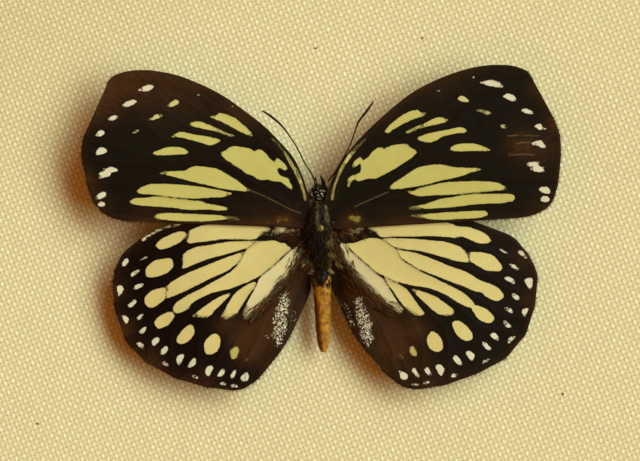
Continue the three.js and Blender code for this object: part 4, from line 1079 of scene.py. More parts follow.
def wing_material():
    material, nodes, shader = new_material("butterfly_scales")
    flow = nodes.attribute("flow", "Vector")
    place = nodes.local()
    scales = use_group(nodes, SCALES, Flow=flow)
    mottling = use_group(nodes, MOTTLING, Place=place, Size=1.0, Contrast=1.6)["Tone"]
    streaks = nodes.noise(nodes.stretch(flow, (0.16, 2.6, 1)), 1.0, 4, 0.65)

    soft = nodes.math("MAXIMUM", nodes.attribute("softness"), CRISP)
    blur = nodes.ramp(soft, 0.2, 0.7)
    streak = nodes.minus(streaks, 0.5)
    chance = nodes.minus(scales["Chance"], 0.5)
    ragged = nodes.plus(nodes.times(streak, 0.32), nodes.times(chance, 0.12))
    depth = nodes.plus(nodes.attribute("mark"), ragged)
    loose = nodes.plus(nodes.times(streak, 1.6), nodes.times(chance, 0.4))
    share = nodes.plus(nodes.math("DIVIDE", depth, soft), nodes.times(loose, blur))
    width = nodes.plus(0.35, nodes.times(blur, 0.1))
    mark = nodes.ramp(share, nodes.minus(0.0, width), width)

    # Painted sheen: the black turns lighter and greener, most on the right wings, which face the key light.
    dark = nodes.mix(nodes.attribute("painted_sheen"), WING_BLACK, WING_SHEEN_BLACK)
    brown = nodes.times(nodes.attribute("brown"), nodes.ramp(mottling, 0.1, 0.8, 0.55, 1.25))
    brown = nodes.times(brown, nodes.ramp(streaks, 0.3, 0.7, 0.6, 1.3))
    dark = nodes.mix(brown, dark, WING_BROWN)
    dark = nodes.mix(nodes.times(nodes.attribute("vein"), 0.25), dark, VEIN_BROWN)
    dark = nodes.mix(1.0, dark, nodes.add_tone(scales["Tone"], 0.78, 1.28), "MULTIPLY")
    # Pale lines along veins: partly rubbed scales and partly a painted highlight on the vein ridges.
    wear_and_highlight_share = nodes.times(nodes.attribute("wear_and_highlight"), nodes.ramp(streaks, 0.3, 0.55, 0.1, 0.6))
    dark = nodes.mix(wear_and_highlight_share, dark, WEAR_AND_HIGHLIGHT_TAN)

    pale = nodes.mix(nodes.attribute("warm"), CREAM_FORE, CREAM_HIND)
    pale = nodes.mix(nodes.attribute("whiteness"), pale, SPOT_WHITE)
    pale = nodes.mix(nodes.attribute("olive"), pale, OLIVE_YELLOW)
    pale = nodes.mix(1.0, pale, nodes.add_tone(mottling, 0.93, 1.06), "MULTIPLY")
    pale = nodes.mix(1.0, pale, nodes.add_tone(scales["Tone"], 0.95, 1.04), "MULTIPLY")
    pale = nodes.mix(nodes.times(nodes.attribute("vein"), 0.35), pale, VEIN_BROWN)

    specks = nodes.add("ShaderNodeSeparateColor")
    nodes.feed(specks.inputs[0], nodes.cells(nodes.stretch(place, (1, 1, 0)), 6.2, output="Color"))
    silver = nodes.minus(nodes.attribute("silver"), specks.outputs[0])
    silver = nodes.ramp(silver, 0.0, 0.2, 0.0, 0.95)
    patchy = nodes.times(nodes.minus(nodes.noise(place, 1.5, 4, 0.65), 0.5), 1.6)
    gold = nodes.plus(nodes.attribute("gold"), patchy)
    root = nodes.plus(nodes.attribute("root"), patchy)
    color = nodes.mix(mark, dark, pale)
    color = nodes.mix(nodes.times(nodes.attribute("gold"), 0.5), color, RUST_BROWN)
    color = nodes.mix(nodes.ramp(gold, 0.45, 0.85, 0.0, 0.75), color, OLIVE_YELLOW)
    color = nodes.mix(nodes.ramp(root, 0.3, 0.75, 0.0, 0.8), color, ROOT_TAN)
    dust = nodes.mix(1.0, SILVER_DUST, nodes.add_tone(specks.outputs[2], 0.5, 1.15), "MULTIPLY")
    color = nodes.mix(silver, color, dust)
    under = nodes.times(nodes.attribute("under"), 0.35)
    color = nodes.mix(under, color, WING_BROWN)

    bump = nodes.bump(scales["Height"], 0.5, 0.02 * MM)
    bump = nodes.bump(streaks, 0.25, 0.05 * MM, bump)
    set_shader(
        shader, nodes, Base_Color=color, Roughness=nodes.ramp(mark, 0, 1, 0.62, 0.78), Normal=bump,
        Specular_IOR_Level=0.06, Sheen_Weight=0.012, Sheen_Roughness=0.5,
        Sheen_Tint=tint(220, 190, 150),
    )
    return material


def canvas_material():
    material, nodes, shader = new_material("plain_weave_canvas")
    threads = nodes.attribute("threads", "Vector")
    place = nodes.local()
    weave = use_group(nodes, WEAVE, Threads=threads)
    mottling = use_group(nodes, MOTTLING, Place=place, Size=9.0, Contrast=1.2)["Tone"]
    warp_fuzz = nodes.noise(nodes.stretch(threads, (3.6, 1.3, 1)), 1.0, 4, 0.7)
    weft_fuzz = nodes.noise(nodes.stretch(threads, (1.3, 3.6, 1)), 1.0, 4, 0.7)
    fuzz = nodes.add("ShaderNodeMix", data_type="FLOAT")
    nodes.feed(fuzz.inputs[0], weave["Warp"])
    nodes.feed(fuzz.inputs[2], weft_fuzz)
    nodes.feed(fuzz.inputs[3], warp_fuzz)
    fuzz = fuzz.outputs[0]
    yarn = nodes.noise(nodes.stretch(threads, (1.0, 0.13, 1)), 1.0, 2, 0.5)

    color = nodes.mix(nodes.ramp(weave["Height"], 0.1, 0.7), CANVAS_SHADE, CANVAS_YARN)
    # Painted highlight: each warp float is brightened along its top towards the float colour.
    float_highlight_share = nodes.times(weave["Float"], nodes.ramp(weave["Chance"], 0, 1, 0.45, 1, smooth=False))
    color = nodes.mix(float_highlight_share, color, CANVAS_FLOAT_HIGHLIGHT)
    color = nodes.mix(1.0, color, nodes.add_tone(mottling, 0.95, 1.04), "MULTIPLY")
    color = nodes.mix(1.0, color, nodes.add_tone(yarn, 0.94, 1.06), "MULTIPLY")
    color = nodes.mix(1.0, color, nodes.add_tone(fuzz, 0.66, 1.34), "MULTIPLY")
    # Painted shade in the gaps between the threads.
    color = nodes.mix(nodes.times(weave["Pore"], 0.16), color, CANVAS_PORE_SHADE)
    # Painted shade of the light's fall-off, darker and greener towards the top-left corner.
    corner = nodes.add("ShaderNodeVectorMath", operation="DOT_PRODUCT")
    nodes.feed(corner.inputs[0], place)
    nodes.feed(corner.inputs[1], SHADED_CORNER)
    corner_shade = nodes.ramp(corner.outputs["Value"], CORNER_SHADE_FROM, CORNER_SHADE_FULL)
    color = nodes.mix(corner_shade, color, nodes.mix(1.0, color, CORNER_SHADE_TINT, "MULTIPLY"))

    height = nodes.plus(weave["Height"], nodes.times(fuzz, 0.22))
    set_shader(
        shader, nodes, Base_Color=color, Roughness=0.92, Normal=nodes.bump(height, 0.6, 0.12 * MM),
        Specular_IOR_Level=0.2, Sheen_Weight=0.15, Sheen_Roughness=0.6,
    )
    return material


def body_material():
    material, nodes, shader = new_material("dark_body_wall")
    place = nodes.local()
    tone = use_group(nodes, MOTTLING, Place=place, Size=0.5, Contrast=2.2)["Tone"]
    dust = use_group(nodes, DUST, Place=place, Grain=7.0, Amount=0.05)["Mask"]
    color = nodes.mix(tone, tint(9, 6, 3), tint(30, 22, 12))
    color = nodes.mix(nodes.times(nodes.attribute("pale"), 0.85), color, tint(124, 116, 94))
    color = nodes.mix(dust, color, tint(150, 132, 120))
    grain = nodes.noise(place, 6.0, 5, 0.7)
    set_shader(shader, nodes, Base_Color=color, Roughness=nodes.ramp(tone, 0, 1, 0.5, 0.75),
               Normal=nodes.bump(grain, 0.6, 0.06 * MM), Specular_IOR_Level=0.15)
    return material


def hair_material():
    material, nodes, shader = new_material("body_hair")
    tone = nodes.attribute("tone")
    color = nodes.mix(nodes.attribute("pale"), tint(17, 11, 5), tint(168, 148, 92))
    color = nodes.mix(nodes.attribute("rust"), color, tint(112, 66, 26))
    color = nodes.mix(1.0, color, nodes.add_tone(tone, 0.55, 1.4), "MULTIPLY")
    fibre = nodes.noise(nodes.local(), 5.0, 2)
    set_shader(shader, nodes, Base_Color=color, Roughness=nodes.ramp(fibre, 0, 1, 0.4, 0.6),
               Specular_IOR_Level=0.08)
    return material


def abdomen_material():
    material, nodes, shader = new_material("dried_abdomen")
    place = nodes.local()
    lumps = nodes.noise(nodes.stretch(place, (1.5, 1.2, 1.5)), 1.0, 4, 0.6, 0.3)
    fine = nodes.noise(nodes.stretch(place, (4.5, 3.2, 4.5)), 1.0, 4, 0.6)
    tone = use_group(nodes, MOTTLING, Place=place, Size=0.8, Contrast=1.6)["Tone"]
    color = nodes.mix(nodes.ramp(lumps, 0.36, 0.64), tint(124, 72, 9), tint(172, 121, 28))
    color = nodes.mix(nodes.ramp(fine, 0.52, 0.7, 0, 0.65), color, tint(202, 158, 62))
    color = nodes.mix(nodes.times(nodes.attribute("fold"), 0.5), color, tint(94, 47, 6))
    # The band along the crease is partly its own dark red-brown and partly painted shade on the left side,
    # turned from the light.
    crease_and_shade = nodes.times(nodes.attribute("crease_and_shade"), nodes.ramp(tone, 0.1, 0.7, 1.1, 0.75))
    color = nodes.mix(crease_and_shade, color, tint(74, 28, 5))
    edge = nodes.plus(nodes.attribute("waist"), nodes.times(fine, 0.3))
    color = nodes.mix(nodes.ramp(edge, 0.45, 0.75), color, tint(16, 10, 6))
    height = nodes.plus(lumps, nodes.times(fine, 0.5))
    set_shader(shader, nodes, Base_Color=color, Roughness=nodes.ramp(tone, 0, 1, 0.4, 0.62),
               Normal=nodes.bump(height, 0.7, 0.14 * MM), Specular_IOR_Level=0.25)
    return material


def horn_material():
    material, nodes, shader = new_material("dark_horn")
    place = nodes.local()
    tone = use_group(nodes, MOTTLING, Place=place, Size=0.35, Contrast=2.0)["Tone"]
    color = nodes.mix(tone, tint(16, 10, 6), tint(54, 34, 18))
    fine = nodes.noise(place, 9.0, 4, 0.7)
    set_shader(shader, nodes, Base_Color=color, Roughness=nodes.ramp(tone, 0, 1, 0.4, 0.6),
               Normal=nodes.bump(fine, 0.4, 0.03 * MM), Specular_IOR_Level=0.12)
    return material


def eye_material():
    material, nodes, shader = new_material("compound_eye")
    place = nodes.local()
    facets = nodes.cells(place, 11.0)
    tone = use_group(nodes, MOTTLING, Place=place, Size=0.5, Contrast=1.5)["Tone"]
    color = nodes.mix(tone, tint(26, 16, 9), tint(66, 40, 22))
    set_shader(shader, nodes, Base_Color=color, Roughness=nodes.ramp(facets, 0, 0.6, 0.16, 0.34),
               Normal=nodes.bump(facets, 0.5, 0.02 * MM), Coat_Weight=0.4, Coat_Roughness=0.15)
    return material


def brass_material():
    material, nodes, shader = new_material("pin_brass")
    place = nodes.local()
    tone = use_group(nodes, MOTTLING, Place=place, Size=0.6, Contrast=2.0)["Tone"]
    dust = use_group(nodes, DUST, Place=place, Grain=9.0, Amount=0.1)["Mask"]
    drawn = nodes.noise(nodes.stretch(place, (14, 14, 0.6)), 1.0, 3)
    color = nodes.mix(tone, tint(108, 98, 44), tint(160, 150, 90))
    color = nodes.mix(dust, color, tint(120, 112, 92))
    rough = nodes.plus(nodes.ramp(tone, 0, 1, 0.6, 0.45), nodes.times(dust, 0.2))
    set_shader(shader, nodes, Base_Color=color, Metallic=1.0, Roughness=rough,
               Normal=nodes.bump(drawn, 0.25, 0.02 * MM))
    return material


def cork_material():
    material, nodes, shader = new_material("pressed_cork")
    place = nodes.local()
    grains = nodes.stretch(place, CORK_GRAINS)
    picked = nodes.add("ShaderNodeSeparateColor")
    nodes.feed(picked.inputs[0], nodes.cells(grains, 1.0, output="Color"))
    seam = nodes.ramp(nodes.cells(grains, 1.0, "DISTANCE_TO_EDGE"), 0.08, 0.0)
    tone = use_group(nodes, MOTTLING, Place=place, Size=1.2, Contrast=1.8)["Tone"]
    color = nodes.mix(picked.outputs[0], tint(150, 108, 66), tint(196, 156, 104))
    color = nodes.mix(1.0, color, nodes.add_tone(tone, 0.8, 1.12), "MULTIPLY")
    color = nodes.mix(nodes.times(seam, 0.8), color, tint(84, 52, 28))
    height = nodes.minus(nodes.noise(place, 1.6, 4), seam)
    set_shader(shader, nodes, Base_Color=color, Roughness=0.85, Normal=nodes.bump(height, 0.7, 0.25 * MM))
    return material


def floor_material():
    material, nodes, shader = new_material("pale_floor")
    set_shader(shader, nodes, Base_Color=tint(216, 213, 207), Roughness=0.9)
    return material


# Wings

EDGE_SPACING = 0.35
MARK_SPACING = 0.3
VEIN_SPACING = 0.35
VEIN_HALF_WIDTH = 0.16
MESH_STEP = 0.42
CLOSEST = 0.13
CRISP = 0.1
WING_SKIN = 0.09
WING_SUNK = 0.22
VEIN_RISE = 0.07
WHITENESS = {"cream": 0.0, "pale": 0.25, "whitish": 0.42, "white": 1.0, "olive": 0.0}
OLIVE_SHARE = 0.5
WEAR_AND_HIGHLIGHT_HALF_WIDTH = 0.08
COSTA_POINTS = 26
COSTA_RISE, COSTA_HALF_WIDTH = 0.1, 0.3
SILVER_AMOUNTS = (0.5, 0.3, 0.12)
FRINGE_GAP = 0.085
FRINGE_LENGTH = (0.28, 0.5)
FRINGE_RADIUS = 0.03
FRINGE_FROM = {"forewing": 14.0, "hindwing": 4.0}

FOREWING_LEFT_BROWN = [
    (190, 88, 45, 0.45), (150, 75, 40, 0.5), (115, 85, 25, 0.8), (98, 112, 18, 0.5),
    (240, 112, 20, 0.5), (88, 180, 14, 0.5), (100, 205, 14, 0.5), (150, 218, 25, 0.4),
    (260, 218, 26, 0.4), (290, 221, 12, 0.4),
]
FOREWING_RIGHT_BROWN = [
    (540, 90, 12, 0.6), (553, 125, 10, 0.5), (545, 150, 20, 0.5), (520, 145, 18, 0.7),
    (400, 224, 24, 0.4), (350, 221, 12, 0.3), (450, 72, 30, 0.4), (420, 85, 20, 0.3),
    (385, 110, 16, 0.4), (540, 205, 15, 0.4),
]
HINDWING_LEFT_BROWN = [
    (115, 290, 14, 0.5), (125, 330, 14, 0.6), (150, 362, 18, 0.6), (200, 383, 18, 0.5),
    (275, 310, 22, 0.8), (262, 335, 22, 0.8), (250, 355, 18, 0.7), (290, 290, 15, 0.65),
    (300, 270, 12, 0.5), (240, 335, 15, 0.5), (225, 325, 12, 0.6),
]
HINDWING_RIGHT_BROWN = [
    (370, 300, 25, 0.65), (385, 330, 25, 0.75), (395, 355, 22, 0.75), (350, 290, 15, 0.5),
    (430, 379, 25, 0.5), (525, 260, 14, 0.5), (530, 300, 12, 0.5), (420, 330, 16, 0.6),
]


def thinned(candidates, kept, gap):
    """The candidates that are at least gap from every kept point and from each other."""
    cells = {}
    for point in kept:
        cells.setdefault((int(point[0] // gap), int(point[1] // gap)), []).append(point)
    chosen = []
    for point in candidates:
        column, row = int(point[0] // gap), int(point[1] // gap)
        near = (
            other
            for i in (column - 1, column, column + 1)
            for j in (row - 1, row, row + 1)
            for other in cells.get((i, j), ())
        )
        if all((point[0] - other[0]) ** 2 + (point[1] - other[1]) ** 2 >= gap * gap for other in near):
            cells.setdefault((column, row), []).append(point)
            chosen.append(point)
    return chosen


def triangle_grid(low, high, step):
    rows = np.arange(low[1], high[1], step * 0.866)
    points = []
    for number, y in enumerate(rows):
        x = np.arange(low[0] + (number % 2) * step / 2, high[0], step)
        points.append(np.column_stack([x, np.full(len(x), y)]))
    return np.vstack(points)


def offset_lines(line, gap):
    along = np.gradient(line, axis=0)
    along /= np.linalg.norm(along, axis=1, keepdims=True)
    across = np.column_stack([-along[:, 1], along[:, 0]])
    return [line + across * gap, line - across * gap]


def filled(ring, points):
    """Triangles over the inside of the ring, with a corner at each of the points."""
    flat = [Vector(point) for point in (*ring, *points)]
    result = geometry.delaunay_2d_cdt(flat, [], [list(range(len(ring)))], 1, 1e-6, False)
    return np.array([tuple(point) for point in result[0]]), [tuple(face) for face in result[2]]


def shell(flat, faces, top, bottom):
    """A closed sheet: a top and a bottom over the same triangles, and a rim."""
    count = len(flat)
    vertices = np.vstack([np.column_stack([flat, top]), np.column_stack([flat, bottom])])
    directed = {(face[i], face[(i + 1) % 3]) for face in faces for i in range(3)}
    rim = [(a, a + count, b + count, b) for a, b in directed if (b, a) not in directed]
    under = [tuple(i + count for i in reversed(face)) for face in faces]
    return vertices, [*faces, *under, *sorted(rim)]


def mark_values(flat, data):
    """Signed depth inside the nearest mark, and how white or olive that mark is."""
    depth = np.full(len(flat), -9.0)
    whiteness = np.zeros(len(flat))
    olive = np.zeros(len(flat))
    for kind, white in WHITENESS.items():
        for outline in data.get(kind, []):
            ring = smooth_line(placed(outline), MARK_SPACING, closed=True)
            gap = distance_to(flat, [ring], closed=True)
            signed = np.where(inside(flat, ring), gap, -gap)
            nearer = signed > depth
            depth = np.where(nearer, signed, depth)
            whiteness = np.where(nearer, white, whiteness)
            olive = np.where(nearer, OLIVE_SHARE * (kind == "olive"), olive)
    softness = np.full(len(flat), CRISP)
    for x, y, radius, soft, lowering in data["blurred"]:
        middle = placed([(x, y)])[0]
        reach = np.linalg.norm(flat - middle, axis=1) / (radius * STEP)
        share = 1 - smoothstep(reach, 0.5, 1.0)
        softness = np.maximum(softness, soft * STEP * share)
        depth = depth - lowering * STEP * share
    return np.clip(depth, -1.5, 1.5), softness, whiteness, olive


def blobs(flat, spots):
    total = np.zeros(len(flat))
    for x, y, radius, amount in spots:
        reach = np.linalg.norm(flat - placed([(x, y)])[0], axis=1) / (radius * STEP)
        total = total + amount * np.exp(-reach * reach)
    return np.clip(total, 0, 1)


def patches(flat, outlines, fade):
    """1 inside the outlines, falling to 0 within the fade distance outside them."""
    value = np.zeros(len(flat))
    for outline in outlines:
        ring = smooth_line(placed(outline), MARK_SPACING, closed=True)
        gap = distance_to(flat, [ring], closed=True)
        signed = np.where(inside(flat, ring), gap, -gap)
        value = np.maximum(value, smoothstep(signed, -fade, fade))
    return value


def make_wing(name, data, height, root, brown, warm, painted_sheen, kind, material, seed):
    ring = smooth_line(placed(data["edge"]), EDGE_SPACING, closed=True)
    if np.cross(ring, np.roll(ring, -1, axis=0)).sum() < 0:
        ring = ring[::-1]
    outlines = [
        smooth_line(placed(outline), MARK_SPACING, closed=True)
        for mark in WHITENESS
        for outline in data.get(mark, [])
    ]
    veins = [smooth_line(placed(vein), VEIN_SPACING) for vein in data["veins"]]
    wear_and_highlight_lines = [smooth_line(placed(rub), VEIN_SPACING) for rub in data.get("wear_and_highlight", [])]
    beside = [line for middle in (*veins, *wear_and_highlight_lines) for line in offset_lines(middle, VEIN_HALF_WIDTH)]
    grid = triangle_grid(ring.min(0), ring.max(0), MESH_STEP)
    kept = list(map(tuple, ring))
    points = []
    lines = (*outlines, *veins, *wear_and_highlight_lines, *beside)
    for group, gap in ((lines, CLOSEST), ([grid], MESH_STEP * 0.62)):
        for line in group:
            line = line[inside(line, ring) & (distance_to(line, [ring], closed=True) > CLOSEST)]
            fresh = thinned([tuple(point) for point in line], kept + points, gap)
            points.extend(fresh)
    flat, faces = filled([tuple(point) for point in ring], points)

    x, y = flat.T
    vein_gap = distance_to(flat, veins)
    edge_gap = distance_to(flat, [ring], closed=True)
    reach = np.hypot(x - root[0], y - root[1])
    ridge = np.exp(-((vein_gap / VEIN_HALF_WIDTH) ** 2)) * (0.45 + 0.55 * np.exp(-reach / 25))
    sag = 1 - np.exp(-((vein_gap / 0.9) ** 2))
    inward = smoothstep(edge_gap, 0, 1.5)
    relief = VEIN_RISE * ridge + inward * (0.06 * ripple(x, y, 7, seed) - 0.08 * sag)
    relief = relief + inward * 0.02 * ripple(x, y, 1.6, seed + 1)
    if kind == "forewing":
        costa = smooth_line(placed(data["edge"][:COSTA_POINTS]), EDGE_SPACING)
        relief = relief + COSTA_RISE * np.exp(-((distance_to(flat, [costa]) / COSTA_HALF_WIDTH) ** 2))
    top = height(x, y) - WING_SUNK + relief
    skin_vertices, skin_faces = shell(flat, faces, top, top - WING_SKIN)

    depth, softness, whiteness, olive = mark_values(flat, data)
    angle = np.arctan2(y - root[1], np.abs(x - root[0]))
    flow = np.column_stack([reach, angle * 30, np.zeros(len(flat))])
    silver = np.zeros(len(flat))
    for outline, amount in zip(data.get("silver", []), SILVER_AMOUNTS):
        silver = silver + amount * patches(flat, [outline], 0.5)
    values = {
        "mark": depth,
        "softness": softness,
        "whiteness": whiteness,
        "olive": olive,
        "brown": blobs(flat, brown) ** 1.4 + 0.4 * np.exp(-edge_gap / 0.8),
        "vein": np.exp(-((vein_gap / 0.14) ** 2)),
        "wear_and_highlight": np.exp(-((distance_to(flat, wear_and_highlight_lines) / WEAR_AND_HIGHLIGHT_HALF_WIDTH) ** 2)),
        "silver": silver,
        "root": blobs(flat, data.get("pink", [])),
        "gold": blobs(flat, data.get("gold", [])),
        "painted_sheen": np.clip(painted_sheen + blobs(flat, data.get("painted_sheen", [])), 0, 1),
        "flow": flow,
    }

    draw = np.random.default_rng(seed)
    roots, starts = fringe_roots(flat, top, ring, kind, draw)
    tips, bends = fringe_tips(starts, roots, draw)
    hair, hair_faces, per_hair = strands(starts, tips, bends, FRINGE_RADIUS, 3)
    piece = make_piece(name, *joined([(skin_vertices, skin_faces), (hair, hair_faces)]), material, "wing")
    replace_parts(piece, name)
    nearest = np.repeat(roots[:, 2].astype(int), per_hair)
    for label, value in values.items():
        note(piece, label, np.concatenate([value, value, value[nearest]]))
    under = np.concatenate([np.zeros(len(flat)), np.ones(len(flat)), np.zeros(len(hair))])
    note(piece, "under", under)
    note(piece, "warm", np.full(len(under), warm))
    return piece


def fringe_roots(flat, top, ring, kind, draw):
    """Places along the outer margin: x outward, y outward, nearest surface vertex; and 3-D starts."""
    count = int(np.linalg.norm(np.diff(ring, axis=0), axis=1).sum() / FRINGE_GAP)
    stops = np.sort(draw.uniform(0, len(ring), count))
    number = stops.astype(int) % len(ring)
    share = (stops % 1)[:, None]
    place = ring[number] * (1 - share) + ring[(number + 1) % len(ring)] * share
    along = np.roll(ring, -1, axis=0)[number] - ring[number]
    outward = np.column_stack([along[:, 1], -along[:, 0]]) / np.linalg.norm(along, axis=1, keepdims=True)
    away = np.abs(place[:, 0]) > FRINGE_FROM[kind]
    behind = outward[:, 1] < 0.75 if kind == "forewing" else outward[:, 1] < 0.6
    chosen = away & behind
    place, outward = place[chosen], outward[chosen]
    tree = kdtree.KDTree(len(flat))
    for index, point in enumerate(flat):
        tree.insert((*point, 0), index)
    tree.balance()
    nearest = np.array([tree.find((*point, 0))[1] for point in place])
    start = place - outward * 0.05
    return (
        np.column_stack([outward, nearest]),
        np.column_stack([start, top[nearest] - WING_SKIN / 2]),
    )


def fringe_tips(starts, roots, draw):
    count = len(starts)
    length = draw.uniform(*FRINGE_LENGTH, count)[:, None]
    direction = np.column_stack([roots[:, :2], np.zeros(count)]) + draw.normal(0, 0.22, (count, 3))
    tips = starts + direction * length
    tips[:, 2] = starts[:, 2] - 0.02
    return tips, draw.normal(0, 0.02, (count, 3))


scales = wing_material()
# The two numbers after the brown patches are the warmth of the cream and the painted sheen on the black,
# strongest on the right wings.
make_wing("forewing_left", LEFT_FOREWING, forewing_height, (-1.7, 3.0), FOREWING_LEFT_BROWN,
          0.0, 0.25, "forewing", scales, 11)
make_wing("forewing_right", RIGHT_FOREWING, forewing_height, (1.6, 3.0), FOREWING_RIGHT_BROWN,
          0.0, 0.9, "forewing", scales, 23)
make_wing("hindwing_left", LEFT_HINDWING, hindwing_height, (-2.0, -2.0), HINDWING_LEFT_BROWN,
          1.0, 0.1, "hindwing", scales, 37)
make_wing("hindwing_right", RIGHT_HINDWING, hindwing_height, (2.0, -2.0), HINDWING_RIGHT_BROWN,
          1.0, 0.6, "hindwing", scales, 41)

# Body: stations are x and y in the picture frame, half width, half height and drop in millimetres

BODY_SPACING = 0.2
BODY_SIDES = 48
THORAX = [
    (319, 202.2, 1.1, 1.1, -0.4), (319, 204.5, 1.9, 1.8, -0.3), (318.7, 210, 2.5, 2.5, 0),
    (318.5, 217, 2.95, 2.95, 0.1), (318.5, 226, 3.1, 3.1, 0.1), (318.8, 236, 3.05, 3.0, 0.2),
    (319.2, 245, 2.8, 2.7, 0.3), (319.8, 253, 2.4, 2.3, 0.4), (320.5, 260, 1.9, 1.9, 0.5),
    (320.8, 264.5, 1.2, 1.3, 0.5),
]
HEAD = [
    (319.2, 184.5, 0.7, 0.7, 0.4), (319.4, 187.5, 1.35, 1.3, 0.3), (319.6, 191.5, 1.75, 1.6, 0.2),
    (319.7, 196, 1.8, 1.6, 0.1), (320, 199.5, 1.5, 1.3, 0), (320, 201.3, 0.9, 0.8, -0.1),
]
EYES = [(311, 194.7), (328, 195.2)]
EYE_RADII = (0.8, 1, 1.1)
PALPS = [
    [(316.8, 188), (315.8, 183), (315.6, 176.5)],
    [(323.8, 188), (323.3, 182), (320.4, 175.5)],
]
PALP_RADII = (0.4, 0.36, 0.1)
PALP_DROP, PALP_RISE = 0.5, 0.35
TONGUE_MIDDLE = (319.3, 188)
TONGUE_DROP = 2.1
TONGUE_TIGHTENING = 0.55
TONGUE_TURNS = 1.6
TONGUE_RADIUS = 0.7
THORAX_MIDDLE, HEAD_MIDDLE, LEG_MIDDLE = 319, 319.6, 319.5
LEFT_STRIPE, RIGHT_STRIPE = 317.4, 326.5
STRIPE_LEAN, STRIPE_LEVEL = 0.12, 212
THORAX_LOCKS, HEAD_LOCKS, WAIST_LOCKS = 560, 150, 90
LOCK, LOCK_SPREAD = 6, 0.085
HAIR_SUNK = 0.05
HAIR_RADIUS, HEAD_HAIR_RADIUS, BORDER_HAIR_RADIUS = 0.034, 0.03, 0.024


def body_rings(stations, turned=BODY_SIDES):
    """Rings around the body's axis from front to back, as an array of rings of points."""
    given = np.array(stations, float)
    given[:, :2] = placed(given[:, :2])
    even = smooth_line(given, BODY_SPACING)
    turn = np.linspace(0, 2 * math.pi, turned, endpoint=False)
    rings = np.empty((len(even), turned, 3))
    rings[:, :, 0] = even[:, :1] + even[:, 2:3] * np.cos(turn)
    rings[:, :, 1] = even[:, 1:2]
    rings[:, :, 2] = BODY_Z - even[:, 4:5] + even[:, 3:4] * np.sin(turn)
    return rings


def roughened(rings, amount, scale, seed):
    """Pushes each point in or out along its own ring."""
    middles = rings.mean(1, keepdims=True)
    x, y, z = (rings[..., axis] for axis in range(3))
    push = 1 + amount * ripple(x + z * 0.7, y, scale, seed)
    return middles + (rings - middles) * push[..., None]


def scattered(rings, count, draw, low=0.05, high=0.95, front=0.0, back=1.0):
    """Random places over the upper side of a ringed body, and the outward direction there."""
    row = draw.uniform(front * (len(rings) - 1), back * (len(rings) - 1) - 0.001, count)
    half = rings.shape[1] / 2
    column = draw.uniform(low * half, high * half, count)
    i, k = row.astype(int), column.astype(int)
    down, side = (row - i)[:, None], (column - k)[:, None]
    first = rings[i, k] * (1 - side) + rings[i, k + 1] * side
    second = rings[i + 1, k] * (1 - side) + rings[i + 1, k + 1] * side
    place = first * (1 - down) + second * down
    outward = place - rings.mean(1)[i]
    outward[:, 1] = 0
    return place, outward / np.maximum(np.linalg.norm(outward, axis=1, keepdims=True), 1e-9)


def framed(places):
    """Millimetres back to the picture frame."""
    x = places[:, 0] / STEP + FRAME_MIDDLE[0]
    y = FRAME_MIDDLE[1] - places[:, 1] / STEP
    return x, y


body_wall = body_material()
hair_finish = hair_material()


def make_hair(name, roots, tips, bends, radius, pale, rust, draw, slot="dark_body", steps=4, lock=LOCK):
    """Hairs in locks, set apart at the root and drawn together at the tip."""
    tone = draw.uniform(0, 1, len(roots))
    roots, tips, bends = (np.repeat(line, lock, axis=0) for line in (roots, tips, bends))
    apart = draw.normal(0, LOCK_SPREAD, roots.shape) * (1, 1, 0.3)
    stray = draw.normal(0, LOCK_SPREAD * 0.4, roots.shape)
    vertices, faces, per_hair = strands(roots + apart, tips + stray, bends, radius, steps)
    piece = make_piece(name, vertices, faces, hair_finish, slot)
    note(piece, "pale", np.repeat(pale, lock * per_hair))
    note(piece, "rust", np.repeat(rust, lock * per_hair))
    note(piece, "tone", np.repeat(tone, lock * per_hair))
    return piece


thorax_rings = roughened(body_rings(THORAX), 0.035, 0.9, 5)
thorax = make_piece("thorax", *skin(thorax_rings), body_wall, "dark_body")
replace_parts(thorax, "thorax")
thorax_flat = thorax_rings.reshape(-1, 3)
thorax_x, thorax_y = framed(thorax_flat)
left_line = np.exp(-((thorax_x - LEFT_STRIPE) / 0.9) ** 2) * smoothstep(thorax_y, 203, 207)
left_line = left_line * (1 - smoothstep(thorax_y, 220, 236))
right_line = np.exp(-((thorax_x - RIGHT_STRIPE - (thorax_y - STRIPE_LEVEL) * STRIPE_LEAN) / 1.0) ** 2)
right_line = right_line * smoothstep(thorax_y, 202, 206) * (1 - smoothstep(thorax_y, 218, 228))
note(thorax, "pale", np.clip(left_line + right_line, 0, 1) * (thorax_flat[:, 2] > BODY_Z))


